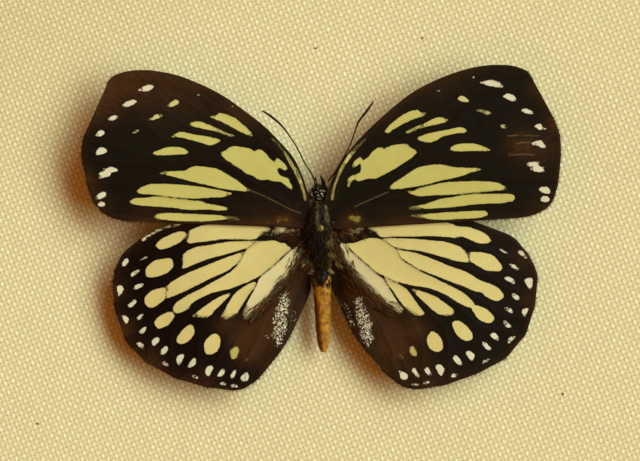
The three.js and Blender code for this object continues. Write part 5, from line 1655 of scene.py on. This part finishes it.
def make_thorax_hair():
    draw = np.random.default_rng(71)
    roots, outward = scattered(thorax_rings, THORAX_LOCKS, draw)
    x, y = framed(roots)
    length = draw.uniform(0.45, 1.05, len(roots))
    length = length * (1 + 0.5 * smoothstep(y, 240, 262))
    lean = np.column_stack([draw.normal(0, 0.28, len(roots)), np.full(len(roots), -0.9),
                            draw.normal(0, 0.15, len(roots))])
    direction = outward * draw.uniform(0.2, 0.55, (len(roots), 1)) + lean
    direction /= np.linalg.norm(direction, axis=1, keepdims=True)
    tips = roots + direction * length[:, None]
    bends = outward * 0.06
    lines = np.exp(-((x - LEFT_STRIPE) / 1.0) ** 2) * (1 - smoothstep(y, 220, 236))
    right_line = np.exp(-((x - RIGHT_STRIPE - (y - STRIPE_LEVEL) * STRIPE_LEAN) / 1.1) ** 2)
    lines = lines + right_line * (1 - smoothstep(y, 216, 228))
    right_side = smoothstep(x, 327, 332) * smoothstep(y, 222, 234)
    rear = smoothstep(y, 255, 263) * smoothstep(np.abs(x - 321), 5, 9)
    pale = np.clip(0.5 * lines + 0.45 * right_side * draw.uniform(0, 1, len(roots)) + 0.5 * rear, 0, 1)
    pale = np.clip(pale + 0.08 * draw.uniform(0, 1, len(roots)), 0, 1)
    rust = 0.25 * draw.uniform(0, 1, len(roots)) ** 3
    make_hair("thorax_hair", roots - outward * HAIR_SUNK, tips, bends, HAIR_RADIUS, pale, rust, draw)


make_thorax_hair()


def make_head():
    rings = roughened(body_rings(HEAD), 0.04, 0.8, 9)
    parts = [skin(rings)]
    for palp in PALPS:
        route = placed(palp)
        lifted = np.column_stack([route, BODY_Z - PALP_DROP + PALP_RISE * np.arange(3)])
        path = smooth_line(lifted, 0.12)
        radii = np.interp(np.linspace(0, 2, len(path)), range(3), PALP_RADII)
        parts.append(tube(path, radii, 14))
    turn = np.linspace(0, TONGUE_TURNS * 2 * math.pi, 90)
    shrink = TONGUE_RADIUS * (1 - TONGUE_TIGHTENING * turn / turn[-1])
    middle = placed([TONGUE_MIDDLE])[0]
    coil = np.column_stack([
        np.full(len(turn), middle[0]),
        middle[1] + shrink * np.sin(turn),
        BODY_Z - TONGUE_DROP + shrink * np.cos(turn),
    ])
    parts.append(tube(coil, np.linspace(0.14, 0.1, len(turn)), 10))
    head = make_piece("head", *joined(parts), body_wall, "dark_body")
    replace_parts(head, "head")
    note(head, "pale", np.zeros(len(head.data.vertices)))

    middles = [np.append(placed([eye])[0], BODY_Z) for eye in EYES]
    balls = [ball(middle, EYE_RADII, 40, 28) for middle in middles]
    make_piece("compound_eyes", *joined(balls), eye_material(), "dark_body")

    draw = np.random.default_rng(83)
    roots, outward = scattered(rings, HEAD_LOCKS, draw)
    direction = outward * 0.6 + draw.normal(0, 0.3, outward.shape) + (0, 0.45, 0)
    tips = roots + direction * draw.uniform(0.25, 0.6, (len(roots), 1))
    pale = 0.15 * draw.uniform(0, 1, len(roots))
    make_hair("head_hair", roots, tips, outward * 0.04, HEAD_HAIR_RADIUS, pale, pale * 0, draw)


make_head()

# Abdomen

ABDOMEN_START = (321.5, 266.5)
ABDOMEN_TIP = (323.6, 353.3)
ABDOMEN_HALF_WIDTHS = (0.9, 1.75, 1.72, 1.65, 1.6, 1.53, 1.47, 1.36, 1.15, 0.5)
ABDOMEN_HALF_HEIGHTS = (1.0, 1.6, 1.55, 1.5, 1.45, 1.38, 1.3, 1.18, 1.0, 0.45)
WAIST_DROP, ABDOMEN_DROP = 0.5, 0.9
ABDOMEN_LENGTH = 16
ABDOMEN_SPACING = 0.15
ABDOMEN_SEGMENTS = 9
ABDOMEN_RINGS = 110
# The crease along the left of the abdomen, where a dark band is painted, partly as shade.
CREASE = [(313, 296), (316, 310), (317, 325), (319, 340), (320, 350)]


def make_abdomen():
    share = np.linspace(0, 1, ABDOMEN_RINGS)
    knots = np.linspace(0, 1, len(ABDOMEN_HALF_WIDTHS))
    given = np.column_stack([knots * ABDOMEN_LENGTH, ABDOMEN_HALF_WIDTHS, ABDOMEN_HALF_HEIGHTS])
    profile = smooth_line(given, ABDOMEN_SPACING)
    widths = np.interp(share * ABDOMEN_LENGTH, profile[:, 0], profile[:, 1])
    heights = np.interp(share * ABDOMEN_LENGTH, profile[:, 0], profile[:, 2])
    groove = np.abs(np.sin(math.pi * share * ABDOMEN_SEGMENTS)) ** 0.5
    swell = 0.93 + 0.07 * groove
    start, tip = placed([ABDOMEN_START])[0], placed([ABDOMEN_TIP])[0]
    turn = np.linspace(0, 2 * math.pi, BODY_SIDES, endpoint=False)
    rings = np.empty((ABDOMEN_RINGS, BODY_SIDES, 3))
    middle = start + (tip - start) * share[:, None]
    rings[:, :, 0] = middle[:, :1] + (widths * swell)[:, None] * np.cos(turn)
    rings[:, :, 1] = middle[:, 1:]
    axis = BODY_Z - WAIST_DROP - ABDOMEN_DROP * share
    rings[:, :, 2] = axis[:, None] + (heights * swell)[:, None] * np.sin(turn)
    rings = roughened(rings, 0.03, 1.4, 15)
    crease_and_shade = smooth_line(placed(CREASE), 0.2)
    flat = rings.reshape(-1, 3)
    gap = distance_to(flat[:, :2], [crease_and_shade])
    upper = np.tile(np.sin(turn) > -0.1, ABDOMEN_RINGS)
    dent = np.exp(-((gap / 0.3) ** 2)) * upper
    flat[:, 2] -= 0.3 * dent
    piece = make_piece("abdomen", *skin(flat.reshape(rings.shape)), abdomen_material(), "ochre_body")
    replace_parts(piece, "abdomen")
    x, y = framed(flat)
    # Partly painted shade: the band along the crease on the side turned from the light.
    note(piece, "crease_and_shade", np.exp(-((gap / 0.42) ** 2)) * upper)
    note(piece, "fold", np.repeat((1 - groove) ** 2, BODY_SIDES))
    note(piece, "waist", 1 - smoothstep(y + 14 * ((x - 321) / 9) ** 2, 279, 293))
    return flat.reshape(rings.shape)


abdomen_rings = make_abdomen()


def make_waist_hair():
    """Black hair at the front of the abdomen that points back and hides the waist."""
    draw = np.random.default_rng(89)
    roots, outward = scattered(abdomen_rings, WAIST_LOCKS, draw, back=0.22)
    direction = outward * 0.35 + draw.normal(0, 0.22, outward.shape) + (0, -0.9, 0)
    direction /= np.linalg.norm(direction, axis=1, keepdims=True)
    tips = roots + direction * draw.uniform(0.6, 1.2, (len(roots), 1))
    pale = 0.1 * draw.uniform(0, 1, len(roots))
    make_hair("waist_hair", roots - outward * HAIR_SUNK, tips, outward * 0.05, HAIR_RADIUS, pale, pale,
              draw)


make_waist_hair()

# Antennae and legs

LEFT_ANTENNA = [
    (314.3, 180), (311.6, 174), (305.4, 164), (300, 153.4), (294.6, 143.6), (287.5, 133),
    (280.4, 124.4), (269.2, 115), (262, 110.7),
]
RIGHT_ANTENNA = [
    (328.3, 180.5), (333, 174.8), (339.3, 165), (346.4, 152.5), (351, 142.7), (354.5, 133),
    (358.5, 122), (366, 112), (373.7, 101.4),
]
ANTENNA_RADII = (0.16, 0.14, 0.135, 0.135, 0.135, 0.15, 0.21, 0.25, 0.15)
ANTENNA_LIFT, ANTENNA_RISE = 0.9, 1.6
ANTENNA_SPACING = 0.075
ANTENNA_RING = 0.3

horn = horn_material()


def make_antenna(name, route):
    flat = placed(route)
    share = np.linspace(0, 1, len(route))
    lift = BODY_Z + ANTENNA_LIFT + ANTENNA_RISE * np.sin(0.5 * math.pi * share)
    path = smooth_line(np.column_stack([flat, lift]), ANTENNA_SPACING)
    travel = np.linspace(0, 1, len(path))
    radii = np.interp(travel, share, ANTENNA_RADII)
    length = ANTENNA_SPACING * len(path)
    radii = radii * (0.95 + 0.05 * np.cos(2 * math.pi * travel * length / ANTENNA_RING))
    radii[-1] *= 0.5
    piece = make_piece(name, *tube(path, radii, 12), horn, "horn")
    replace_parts(piece, name)


make_antenna("antenna_left", LEFT_ANTENNA)
make_antenna("antenna_right", RIGHT_ANTENNA)

# Each leg's joints: outwards from the middle, along the body, and above the canvas
LEGS = {
    "fore": ([(0.7, 3.4, 2.0), (1.2, 4.9, 1.5), (0.9, 6.2, 2.1)], 0.26),
    "mid": ([(1.2, 0.6, 1.7), (3.6, 2.2, 2.6), (5.4, -1.6, 2.3), (5.9, -5.6, 1.1), (5.4, -8.6, 0.5)], 0.3),
    "hind": ([(1.1, -3, 1.8), (3.3, -3.6, 2.7), (4.2, -7.2, 2.2), (4.6, -11, 1.2), (4.9, -13.8, 0.5)], 0.3),
}
LEG_TAPER = (1, 0.95, 0.6, 0.5, 0.35)
LEG_STEPS = 14
SPINES_PER_LEG = 44
SPINE_LENGTH = (0.35, 0.6)


def make_leg(pair, side):
    joints, thickness = LEGS[pair]
    middle = placed([(LEG_MIDDLE, FRAME_MIDDLE[1])])[0][0]
    sign = -1 if side == "left" else 1
    points = np.array([(middle + sign * x, y, CANVAS_TOP + z) for x, y, z in joints])
    parts = []
    for i in range(len(points) - 1):
        path = np.linspace(points[i], points[i + 1], LEG_STEPS)
        share = np.linspace(0, 1, LEG_STEPS)
        radii = thickness * np.interp(i + share, range(5), LEG_TAPER)
        radii = radii * (0.86 + 0.3 * np.abs(share - 0.45) ** 1.2)
        parts.append(tube(path, radii, 12))
    parts += [ball(points[i], [thickness * LEG_TAPER[i] * 1.02] * 3, 14, 10) for i in range(len(points))]
    draw = np.random.default_rng(sum(map(ord, pair + side)))
    segment = draw.integers(0, len(points) - 1, SPINES_PER_LEG)
    share = draw.uniform(0, 1, (SPINES_PER_LEG, 1))
    roots = points[segment] * (1 - share) + points[segment + 1] * share
    away = draw.normal(0, 1, roots.shape)
    length = draw.uniform(*SPINE_LENGTH, (len(roots), 1))
    tips = roots + away / np.linalg.norm(away, axis=1, keepdims=True) * length
    tips[:, 2] = np.maximum(tips[:, 2], CANVAS_TOP + 0.1)
    spines, faces, _ = strands(roots, tips, away * 0, 0.03, 3)
    parts.append((spines, faces))
    name = f"leg_{pair}_{side}"
    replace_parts(make_piece(name, *joined(parts), horn, "horn"), name)


for pair in LEGS:
    for side in ("left", "right"):
        make_leg(pair, side)

# Tufts, and loose scales, some of them painted glints

TUFTS = {
    # x, y, heading in degrees from +X, spread in steps, length in mm, hairs, pale, rust
    "left": [
        (306, 211, 195, 4, 1.0, 130, 0.0, 0.1), (305, 222, 190, 4, 1.2, 170, 0.0, 0.1),
        (304, 233, 205, 4, 1.4, 240, 0.0, 0.15), (303, 243, 215, 4, 1.4, 240, 0.05, 0.15),
        (306, 252, 235, 4, 1.4, 200, 0.15, 0.15), (303, 263, 235, 3, 1.2, 80, 0.7, 0.0),
        (309, 262, 255, 3, 1.3, 110, 0.35, 0.1), (313, 271, 240, 2.5, 1.0, 120, 0.9, 0.0),
        (291, 237, 195, 6, 1.5, 120, 0.0, 0.3), (281, 238, 185, 5, 1.3, 80, 0.0, 0.35),
        (300, 210, 165, 3, 1.5, 20, 0.9, 0.0),
    ],
    "right": [
        (333, 211, -15, 4, 1.0, 130, 0.0, 0.1), (334, 221, -10, 4, 1.2, 180, 0.05, 0.1),
        (334, 233, -50, 4, 1.4, 240, 0.1, 0.15), (330, 242, -82, 3, 1.6, 240, 0.5, 0.2),
        (330, 253, -85, 3, 1.5, 220, 0.5, 0.2), (336, 246, -70, 4, 1.5, 200, 0.1, 0.2),
        (337, 262, -65, 3, 1.3, 100, 0.6, 0.1), (330, 271, -60, 2.5, 1.0, 120, 0.9, 0.0),
        (343, 230, -10, 3, 1.0, 80, 0.1, 0.9), (350, 236, -5, 6, 1.5, 120, 0.05, 0.3),
        (363, 235, 5, 6, 1.3, 90, 0.05, 0.25),
    ],
    "middle": [
        (321, 277, -90, 6, 1.0, 300, 0.0, 0.1), (317, 262, -95, 5, 1.3, 200, 0.05, 0.1),
        (325, 262, -85, 5, 1.3, 200, 0.15, 0.1), (319, 203, -92, 8, 0.9, 260, 0.05, 0.0),
        (313, 201, 150, 3, 0.7, 90, 0.1, 0.0), (326, 201, 30, 3, 0.7, 90, 0.1, 0.0),
    ],
}

HAIRS_TO_A_LOCK = 7


def surface_top(x, y):
    """The height of the insect's upper side, wings and thorax alike."""
    wing = hindwing_height(x, y) - WING_SUNK
    station = np.array(THORAX)
    along = FRAME_MIDDLE[1] - y / STEP
    half_width = np.interp(along, station[:, 1], station[:, 2], 0.5, 0.5)
    half_height = np.interp(along, station[:, 1], station[:, 3], 0.5, 0.5)
    drop = np.interp(along, station[:, 1], station[:, 4])
    share = np.clip((x - placed([(THORAX_MIDDLE, FRAME_MIDDLE[1])])[0][0]) / half_width, -1, 1)
    hump = BODY_Z - drop + half_height * np.sqrt(1 - share * share)
    return np.maximum(wing, np.where(np.abs(share) < 1, hump, 0))


def make_tufts():
    draw = np.random.default_rng(97)
    roots, tips, pale, rust = [], [], [], []
    for tuft in (tuft for group in TUFTS.values() for tuft in group):
        x, y, heading, spread, length, hairs, light, red = tuft
        count = max(hairs // HAIRS_TO_A_LOCK, 2)
        middle = placed([(x, y)])[0]
        place = middle + draw.normal(0, spread * STEP * 0.55, (count, 2))
        turn = np.radians(heading + draw.normal(0, 24, count))
        reach = length * draw.uniform(0.55, 1.15, count)
        end = place + np.column_stack([np.cos(turn), np.sin(turn)]) * reach[:, None]
        roots.append(np.column_stack([place, surface_top(*place.T) - 0.03]))
        lift = draw.uniform(0.03, 0.3, count)
        tips.append(np.column_stack([end, surface_top(*end.T) + lift]))
        pale.append(np.clip(light + draw.normal(0, 0.12, count), 0, 1))
        rust.append(np.clip(red + draw.normal(0, 0.15, count), 0, 1))
    roots, tips = np.vstack(roots), np.vstack(tips)
    bends = draw.normal(0, 0.07, roots.shape) + (0, 0, 0.08)
    pale, rust = np.concatenate(pale), np.concatenate(rust)
    make_hair("body_tufts", roots, tips, bends, HAIR_RADIUS, pale, rust, draw, steps=5)


make_tufts()

# The soft border between the pale band and the dark inner area of each hindwing
HAIR_BORDER = {
    "left": [(302, 246), (299, 256), (294, 268), (286, 281), (276, 294), (265, 306), (254, 316)],
    "right": [(338, 247), (341, 257), (347, 269), (357, 282), (369, 294), (381, 304), (392, 311)],
}
BORDER_LOCKS = 190


def make_border_hair(side):
    draw = np.random.default_rng(103 + len(side))
    line = smooth_line(placed(HAIR_BORDER[side]), 0.2)
    number = draw.integers(0, len(line) - 1, BORDER_LOCKS)
    along = (line[1:] - line[:-1])[number]
    along /= np.linalg.norm(along, axis=1, keepdims=True)
    inward = np.column_stack([-along[:, 1], along[:, 0]]) * (1 if side == "left" else -1)
    offset = draw.normal(0, 0.7, BORDER_LOCKS)
    place = line[number] + inward * offset[:, None]
    turn = draw.normal(0, 0.16, BORDER_LOCKS)[:, None]
    direction = along * np.cos(turn) + inward * np.sin(turn)
    end = place + direction * draw.uniform(0.9, 2.3, BORDER_LOCKS)[:, None]
    roots = np.column_stack([place, hindwing_height(*place.T) - WING_SUNK - 0.02])
    lift = draw.uniform(0.06, 0.3, BORDER_LOCKS)
    tips = np.column_stack([end, hindwing_height(*end.T) - WING_SUNK + lift])
    pale = np.clip(0.16 - 0.14 * offset + draw.normal(0, 0.12, BORDER_LOCKS), 0, 0.8)
    rust = np.clip(0.35 + draw.normal(0, 0.2, BORDER_LOCKS), 0, 1)
    bends = roots * 0 + (0, 0, 0.04)
    make_hair(f"hindwing_hair_{side}", roots, tips, bends, BORDER_HAIR_RADIUS, pale, rust, draw, slot="wing")


make_border_hair("left")
make_border_hair("right")


def flake(place, normal, length, width, thickness, turn):
    """A thin closed scale lying along a surface."""
    normal = normal / np.linalg.norm(normal)
    side = np.cross(normal, (math.cos(turn), math.sin(turn), 0.1))
    side /= np.linalg.norm(side)
    ahead = np.cross(normal, side)
    angles = np.linspace(0, 2 * math.pi, 8, endpoint=False)[:, None]
    outline = np.cos(angles) * side * width / 2 + np.sin(angles) * ahead * length / 2
    rings = np.array([place + outline * 0.8 - normal * thickness / 2,
                      place + outline, place + outline * 0.7 + normal * thickness / 2])
    return skin(rings)


# Pale flakes that serve both as white scales and as painted glints.
def pale_scale_and_glint_material():
    material, nodes, shader = new_material("pale_scales_and_glints")
    tone = nodes.attribute("tone")
    ridges = nodes.noise(nodes.stretch(nodes.local(), (30, 4, 30)), 1.0, 2)
    color = nodes.mix(tone, tint(112, 100, 70), tint(232, 220, 184))
    set_shader(shader, nodes, Base_Color=color, Roughness=nodes.ramp(ridges, 0.3, 0.7, 0.2, 0.4),
               Normal=nodes.bump(ridges, 0.3, 0.01 * MM))
    return material


# Spots of pale scales and painted glints: x, y, how many, spread in steps
# The first two spots are painted glints on the eyes; the rest are white scales that also stand in for glints
# on the head.
PALE_SPOTS_AND_GLINTS = [
    (310.5, 196, 9, 0.9), (326.3, 198.6, 8, 0.8), (311, 202.5, 9, 1.1), (325, 191, 6, 0.6),
    (321, 190.3, 5, 0.7), (318, 188, 4, 0.6), (314, 187.2, 4, 0.6), (316, 192.2, 5, 0.7),
    (321.3, 193.4, 5, 0.6), (319, 199, 5, 0.8), (323, 201, 4, 0.6), (313, 199, 4, 0.7),
    (317.6, 195.5, 4, 0.7), (323.4, 196.5, 4, 0.7), (309, 204.5, 4, 0.8), (299.5, 232.5, 8, 0.9),
    (352, 233.5, 5, 0.7), (318.5, 181, 6, 1.3),
]
HEAD_ROWS = (183, 202.5)
HEAD_SIDES = (306, 331)
SCALE_LENGTH, SCALE_WIDTH, SCALE_THICKNESS = (0.16, 0.3), (0.09, 0.15), 0.02


def make_pale_scales_and_glints():
    draw = np.random.default_rng(131)
    parts, tones = [], []
    station = np.array(HEAD)
    for x, y, count, spread in PALE_SPOTS_AND_GLINTS:
        for _ in range(count):
            spot = placed([(x + draw.normal(0, spread), y + draw.normal(0, spread))])[0]
            row = FRAME_MIDDLE[1] - spot[1] / STEP
            if HEAD_ROWS[0] < row < HEAD_ROWS[1] and HEAD_SIDES[0] < x < HEAD_SIDES[1]:
                half = np.interp(row, station[:, 1], station[:, 2]) + 0.15
                high = np.interp(row, station[:, 1], station[:, 3]) + 0.12
                share = (spot[0] - placed([(HEAD_MIDDLE, row)])[0][0]) / half
                share = float(np.clip(share, -0.97, 0.97))
                height = BODY_Z + high * math.sqrt(1 - share * share) - 0.1
                normal = np.array([share, 0.0, math.sqrt(1 - share * share)])
            else:
                height = float(surface_top(*spot)) + 0.06
                normal = np.array([0.1, 0.0, 1.0])
            normal = normal + draw.normal(0, 0.35, 3)
            place = np.array([*spot, height])
            length, width = draw.uniform(*SCALE_LENGTH), draw.uniform(*SCALE_WIDTH)
            parts.append(flake(place, normal, length, width, SCALE_THICKNESS, draw.uniform(0, 6.3)))
            tones.append(draw.uniform(0.2, 1))
    vertices, faces = joined(parts)
    piece = make_piece("pale_scales_and_glints", vertices, faces, pale_scale_and_glint_material(), "dark_body", smooth=False)
    note(piece, "tone", np.repeat(tones, len(parts[0][0])))


make_pale_scales_and_glints()

# Pin

PIN_SHAFT_RADIUS = 0.25
PIN_HEAD_RADIUS = 0.62
PIN_HEAD_Z = 25.6
PIN_TIP_Z = 3.3
PIN_POINT = 2.0
PIN_NECK = 0.75
PIN_SIDES = 48


def make_pin():
    profile = [(0.0, PIN_TIP_Z), (0.04, PIN_TIP_Z + 0.06), (PIN_SHAFT_RADIUS, PIN_TIP_Z + PIN_POINT)]
    shaft = np.linspace(PIN_TIP_Z + PIN_POINT + 1, PIN_HEAD_Z - PIN_NECK, 12)
    profile += [(PIN_SHAFT_RADIUS, z) for z in shaft]
    profile += [(PIN_SHAFT_RADIUS + 0.04, PIN_HEAD_Z - 0.62)]
    for angle in np.linspace(-62, 84, 22):
        profile.append((
            PIN_HEAD_RADIUS * math.cos(math.radians(angle)),
            PIN_HEAD_Z + PIN_HEAD_RADIUS * math.sin(math.radians(angle)),
        ))
    middle = placed([PIN_AT])[0]
    turn = np.linspace(0, 2 * math.pi, PIN_SIDES, endpoint=False)
    rings = np.array([
        np.column_stack([middle[0] + r * np.cos(turn), middle[1] + r * np.sin(turn), np.full(PIN_SIDES, z)])
        for r, z in profile[1:]
    ])
    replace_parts(make_piece("pin", *skin(rings), brass_material(), "pin_brass"), "pin")


make_pin()

# Canvas

BOARD_WIDTH = 148.0
BOARD_DEPTH = 105.0
CLOTH = 0.6
HEM_WIDTH = 12.0
EDGE_RADIUS = 1.2
CORNER_RADIUS = 1.8
WARP_PITCH = 0.816
WEFT_PITCH = 0.894
WARP_SPREAD = 0.0006
WARP_RUN = np.array([0.357, -0.934])
WARP_ACROSS = np.array([0.934, 0.357])
WEAVE_DEPTH = 0.14
RIM_SPACING = 1.0
THREAD_WANDER = 0.16
CORNER_STEPS = 9
LEAST_CORNER = 0.6
HEM_BEVEL = 0.6


def thread_counts(flat):
    """How many warp and weft threads lie between a place and the middle, with a slight wander."""
    x, y = flat.T
    across = flat @ WARP_ACROSS
    warp = across * (1 - WARP_SPREAD * across / 2) / WARP_PITCH + THREAD_WANDER * ripple(x, y, 14, 61)
    weft = flat @ WARP_RUN / WEFT_PITCH + THREAD_WANDER * ripple(x, y, 12, 62)
    return np.column_stack([warp, weft])


def weave_height(counts):
    """The same plain weave as the canvas finish uses, from 0 in the gaps to 1."""
    warp, weft = counts.T
    warp_round = 1 - (2 * (warp % 1) - 1) ** 2
    weft_round = 1 - (2 * (weft % 1) - 1) ** 2
    warp_wave = np.cos((weft - 0.5 + np.floor(warp)) * math.pi)
    weft_wave = np.cos((warp - 0.5 + np.floor(weft)) * math.pi)
    over = WARP_ROUND * warp_round + WARP_RISE * warp_wave
    under = WEFT_ROUND * weft_round - WEFT_RISE * weft_wave
    return np.clip(np.maximum(over, under), 0, 1)


def rounded_rectangle(width, depth, radius, spacing):
    """A counter-clockwise outline and the outward direction at each of its points."""
    points, outward = [], []
    for turn, (sx, sy) in enumerate(((1, 1), (-1, 1), (-1, -1), (1, -1))):
        middle = np.array([sx * (width / 2 - radius), sy * (depth / 2 - radius)])
        for angle in np.linspace(0, 90, CORNER_STEPS):
            heading = math.radians(turn * 90 + angle)
            direction = np.array([math.cos(heading), math.sin(heading)])
            points.append(middle + radius * direction)
            outward.append(direction)
        nx, ny = ((-1, 1), (-1, -1), (1, -1), (1, 1))[turn]
        following = np.array([nx * (width / 2 - radius), ny * (depth / 2 - radius)]) + radius * direction
        count = round(np.linalg.norm(following - points[-1]) / spacing)
        for share in np.linspace(0, 1, count + 1)[1:-1]:
            points.append((middle + radius * direction) * (1 - share) + following * share)
            outward.append(direction)
    return np.array(points), np.array(outward)


def make_canvas():
    inset = EDGE_RADIUS
    radius = max(CORNER_RADIUS - inset, LEAST_CORNER)
    ring, outward = rounded_rectangle(
        BOARD_WIDTH - 2 * inset, BOARD_DEPTH - 2 * inset, radius, RIM_SPACING
    )
    half = np.array([BOARD_WIDTH, BOARD_DEPTH]) / 2
    corners = np.array([(sx * half[0], sy * half[1]) for sx in (-1, 1) for sy in (-1, 1)])
    warp_span = np.abs(corners @ WARP_ACROSS).max() / WARP_PITCH
    weft_span = np.abs(corners @ WARP_RUN).max() / WEFT_PITCH
    warp = np.arange(-math.ceil(warp_span) - 5, math.ceil(warp_span) + 5, 0.5)
    weft = np.arange(-math.ceil(weft_span) - 5, math.ceil(weft_span) + 5, 0.5)
    grid = np.stack(np.meshgrid(warp, weft), axis=-1).reshape(-1, 2)
    lattice = grid[:, :1] * WARP_PITCH * WARP_ACROSS + grid[:, 1:] * WEFT_PITCH * WARP_RUN
    for _ in range(3):
        wander = thread_counts(lattice) - grid
        shift = wander[:, :1] * WARP_PITCH * WARP_ACROSS + wander[:, 1:] * WEFT_PITCH * WARP_RUN
        lattice = lattice - shift
    limit = half - inset - 0.2
    lattice = lattice[(np.abs(lattice) < limit).all(1)]
    top_flat, top_faces = filled([tuple(point) for point in ring], [tuple(point) for point in lattice])
    counts = thread_counts(top_flat)
    top_z = CANVAS_TOP - WEAVE_DEPTH * (1 - weave_height(counts))
    vertices = [np.column_stack([top_flat, top_z])]
    threads = [counts]
    faces = list(top_faces)
    first = len(top_flat)
    previous = np.arange(len(ring))

    loops = []
    quarter = math.pi / 2
    for share in (0.25, 0.5, 0.75, 1.0):
        angle = share * quarter
        loops.append((inset * math.sin(angle), CANVAS_TOP - inset + inset * math.cos(angle), inset * angle))
    travel = inset * quarter
    wall = CANVAS_TOP - 2 * inset
    for share in np.linspace(0, 1, 11)[1:]:
        loops.append((inset, CANVAS_TOP - inset - wall * share, travel + wall * share))
    travel += wall
    for share in (0.25, 0.5, 0.75, 1.0):
        angle = share * quarter
        loops.append((inset * math.cos(angle), inset - inset * math.sin(angle), travel + inset * angle))
    travel += inset * quarter
    for share in (0.33, 0.66, 1.0):
        loops.append((-(HEM_WIDTH - inset) * share, 0.0, travel + (HEM_WIDTH - inset) * share))
    travel += HEM_WIDTH - inset
    loops.append((-(HEM_WIDTH - inset), CLOTH, travel))
    loops.append((inset - CLOTH - HEM_BEVEL, CLOTH, travel))
    loops.append((inset - CLOTH, CLOTH + HEM_BEVEL, travel))
    loops.append((inset - CLOTH, CANVAS_TOP - CLOTH - HEM_BEVEL, travel))
    loops.append((inset - CLOTH - HEM_BEVEL, CANVAS_TOP - CLOTH, travel))

    for out, z, walked in loops:
        loop = ring + outward * out
        number = len(ring)
        vertices.append(np.column_stack([loop, np.full(number, z)]))
        threads.append(thread_counts(ring) + outward * walked @ np.column_stack(
            [WARP_ACROSS / WARP_PITCH, WARP_RUN / WEFT_PITCH]))
        current = first + np.arange(number)
        for k in range(number):
            n = (k + 1) % number
            faces.append((previous[k], current[k], current[n], previous[n]))
        first += number
        previous = current
    faces.append(tuple(previous))
    piece = make_piece("canvas_cloth", np.vstack(vertices), faces, canvas_material(), "canvas")
    stacked = np.vstack(threads)
    note(piece, "threads", np.column_stack([stacked, np.zeros(len(stacked))]))
    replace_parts(piece, "canvas_cover")


make_canvas()

# Dark flakes on the canvas: x, y, length and width in mm, turn in radians
CANVAS_FLAKES = [
    (316, 45, 0.7, 0.22, 0.4), (424, 35, 0.5, 0.3, 1.2), (567, 397, 0.55, 0.3, 2.0),
    (33, 427, 0.6, 0.25, 2.7),
]


def make_canvas_flakes():
    parts = []
    for x, y, length, width, turn in CANVAS_FLAKES:
        spot = np.append(placed([(x, y)])[0], CANVAS_TOP + 0.02)
        parts.append(flake(spot, np.array([0.1, 0.05, 1.0]), length, width, 0.08, turn))
    make_piece("canvas_flakes", *joined(parts), horn, "canvas", smooth=False)


make_canvas_flakes()

board = bpy.data.objects["mount_board"]
board.data.materials.clear()
board.data.materials.append(cork_material())

# Floor, light and camera

FLOOR_SIZE = 2.4
LENS = 135.0
SENSOR = 36.0
VIEW_PLANE = 19.5
KEY_STRENGTH = 3.9
KEY_COLOR = (0.77, 0.97, 0.885)
KEY_SOFTNESS = 33.0
KEY_FAN = [(0.9, -0.1, 0.9), (0.85, 0.3, 0.9), (0.6, 0.65, 0.9)]
FILL_COLOR = (0.355, 0.12, 0.02)
HORIZON_COLOR = (0.55, 0.5, 0.44)
HORIZON_END, FILL_START = 0.1, 0.25


def make_floor():
    mesh = bpy.data.meshes.new("floor")
    half = FLOOR_SIZE / 2
    corners = [(-half, -half, 0), (half, -half, 0), (half, half, 0), (-half, half, 0)]
    mesh.from_pydata(corners, [], [(0, 1, 2, 3)])
    mesh.materials.append(floor_material())
    floor = bpy.data.objects.new("floor", mesh)
    bpy.context.scene.collection.objects.link(floor)


def make_light():
    """A broad light from the right as a fan of soft suns, and a dim warm fill all around."""
    for number, heading in enumerate(KEY_FAN, 1):
        key = bpy.data.lights.new(f"key_{number}", "SUN")
        key.energy = KEY_STRENGTH / len(KEY_FAN)
        key.color = KEY_COLOR
        key.angle = math.radians(KEY_SOFTNESS)
        lamp = bpy.data.objects.new(key.name, key)
        lamp.rotation_euler = Vector(heading).to_track_quat("Z", "Y").to_euler()
        bpy.context.scene.collection.objects.link(lamp)
    world = bpy.data.worlds.new("studio")
    world.use_nodes = True
    nodes = Nodes(world.node_tree)
    split = nodes.add("ShaderNodeSeparateXYZ")
    nodes.feed(split.inputs[0], nodes.add("ShaderNodeTexCoord").outputs["Generated"])
    rise = nodes.ramp(split.outputs["Z"], HORIZON_END, FILL_START)
    color = nodes.mix(rise, (*HORIZON_COLOR, 1), (*FILL_COLOR, 1))
    nodes.feed(world.node_tree.nodes["Background"].inputs["Color"], color)
    bpy.context.scene.world = world


def make_camera():
    camera = bpy.data.cameras.new("camera")
    camera.lens = LENS
    camera.sensor_width = SENSOR
    holder = bpy.data.objects.new("camera", camera)
    distance = FRAME_SIZE[0] * STEP * LENS / SENSOR
    holder.location = (0, 0, (VIEW_PLANE + distance) * MM)
    bpy.context.scene.collection.objects.link(holder)
    bpy.context.scene.camera = holder


make_floor()
make_light()
make_camera()
bpy.context.scene.view_settings.view_transform = "Standard"
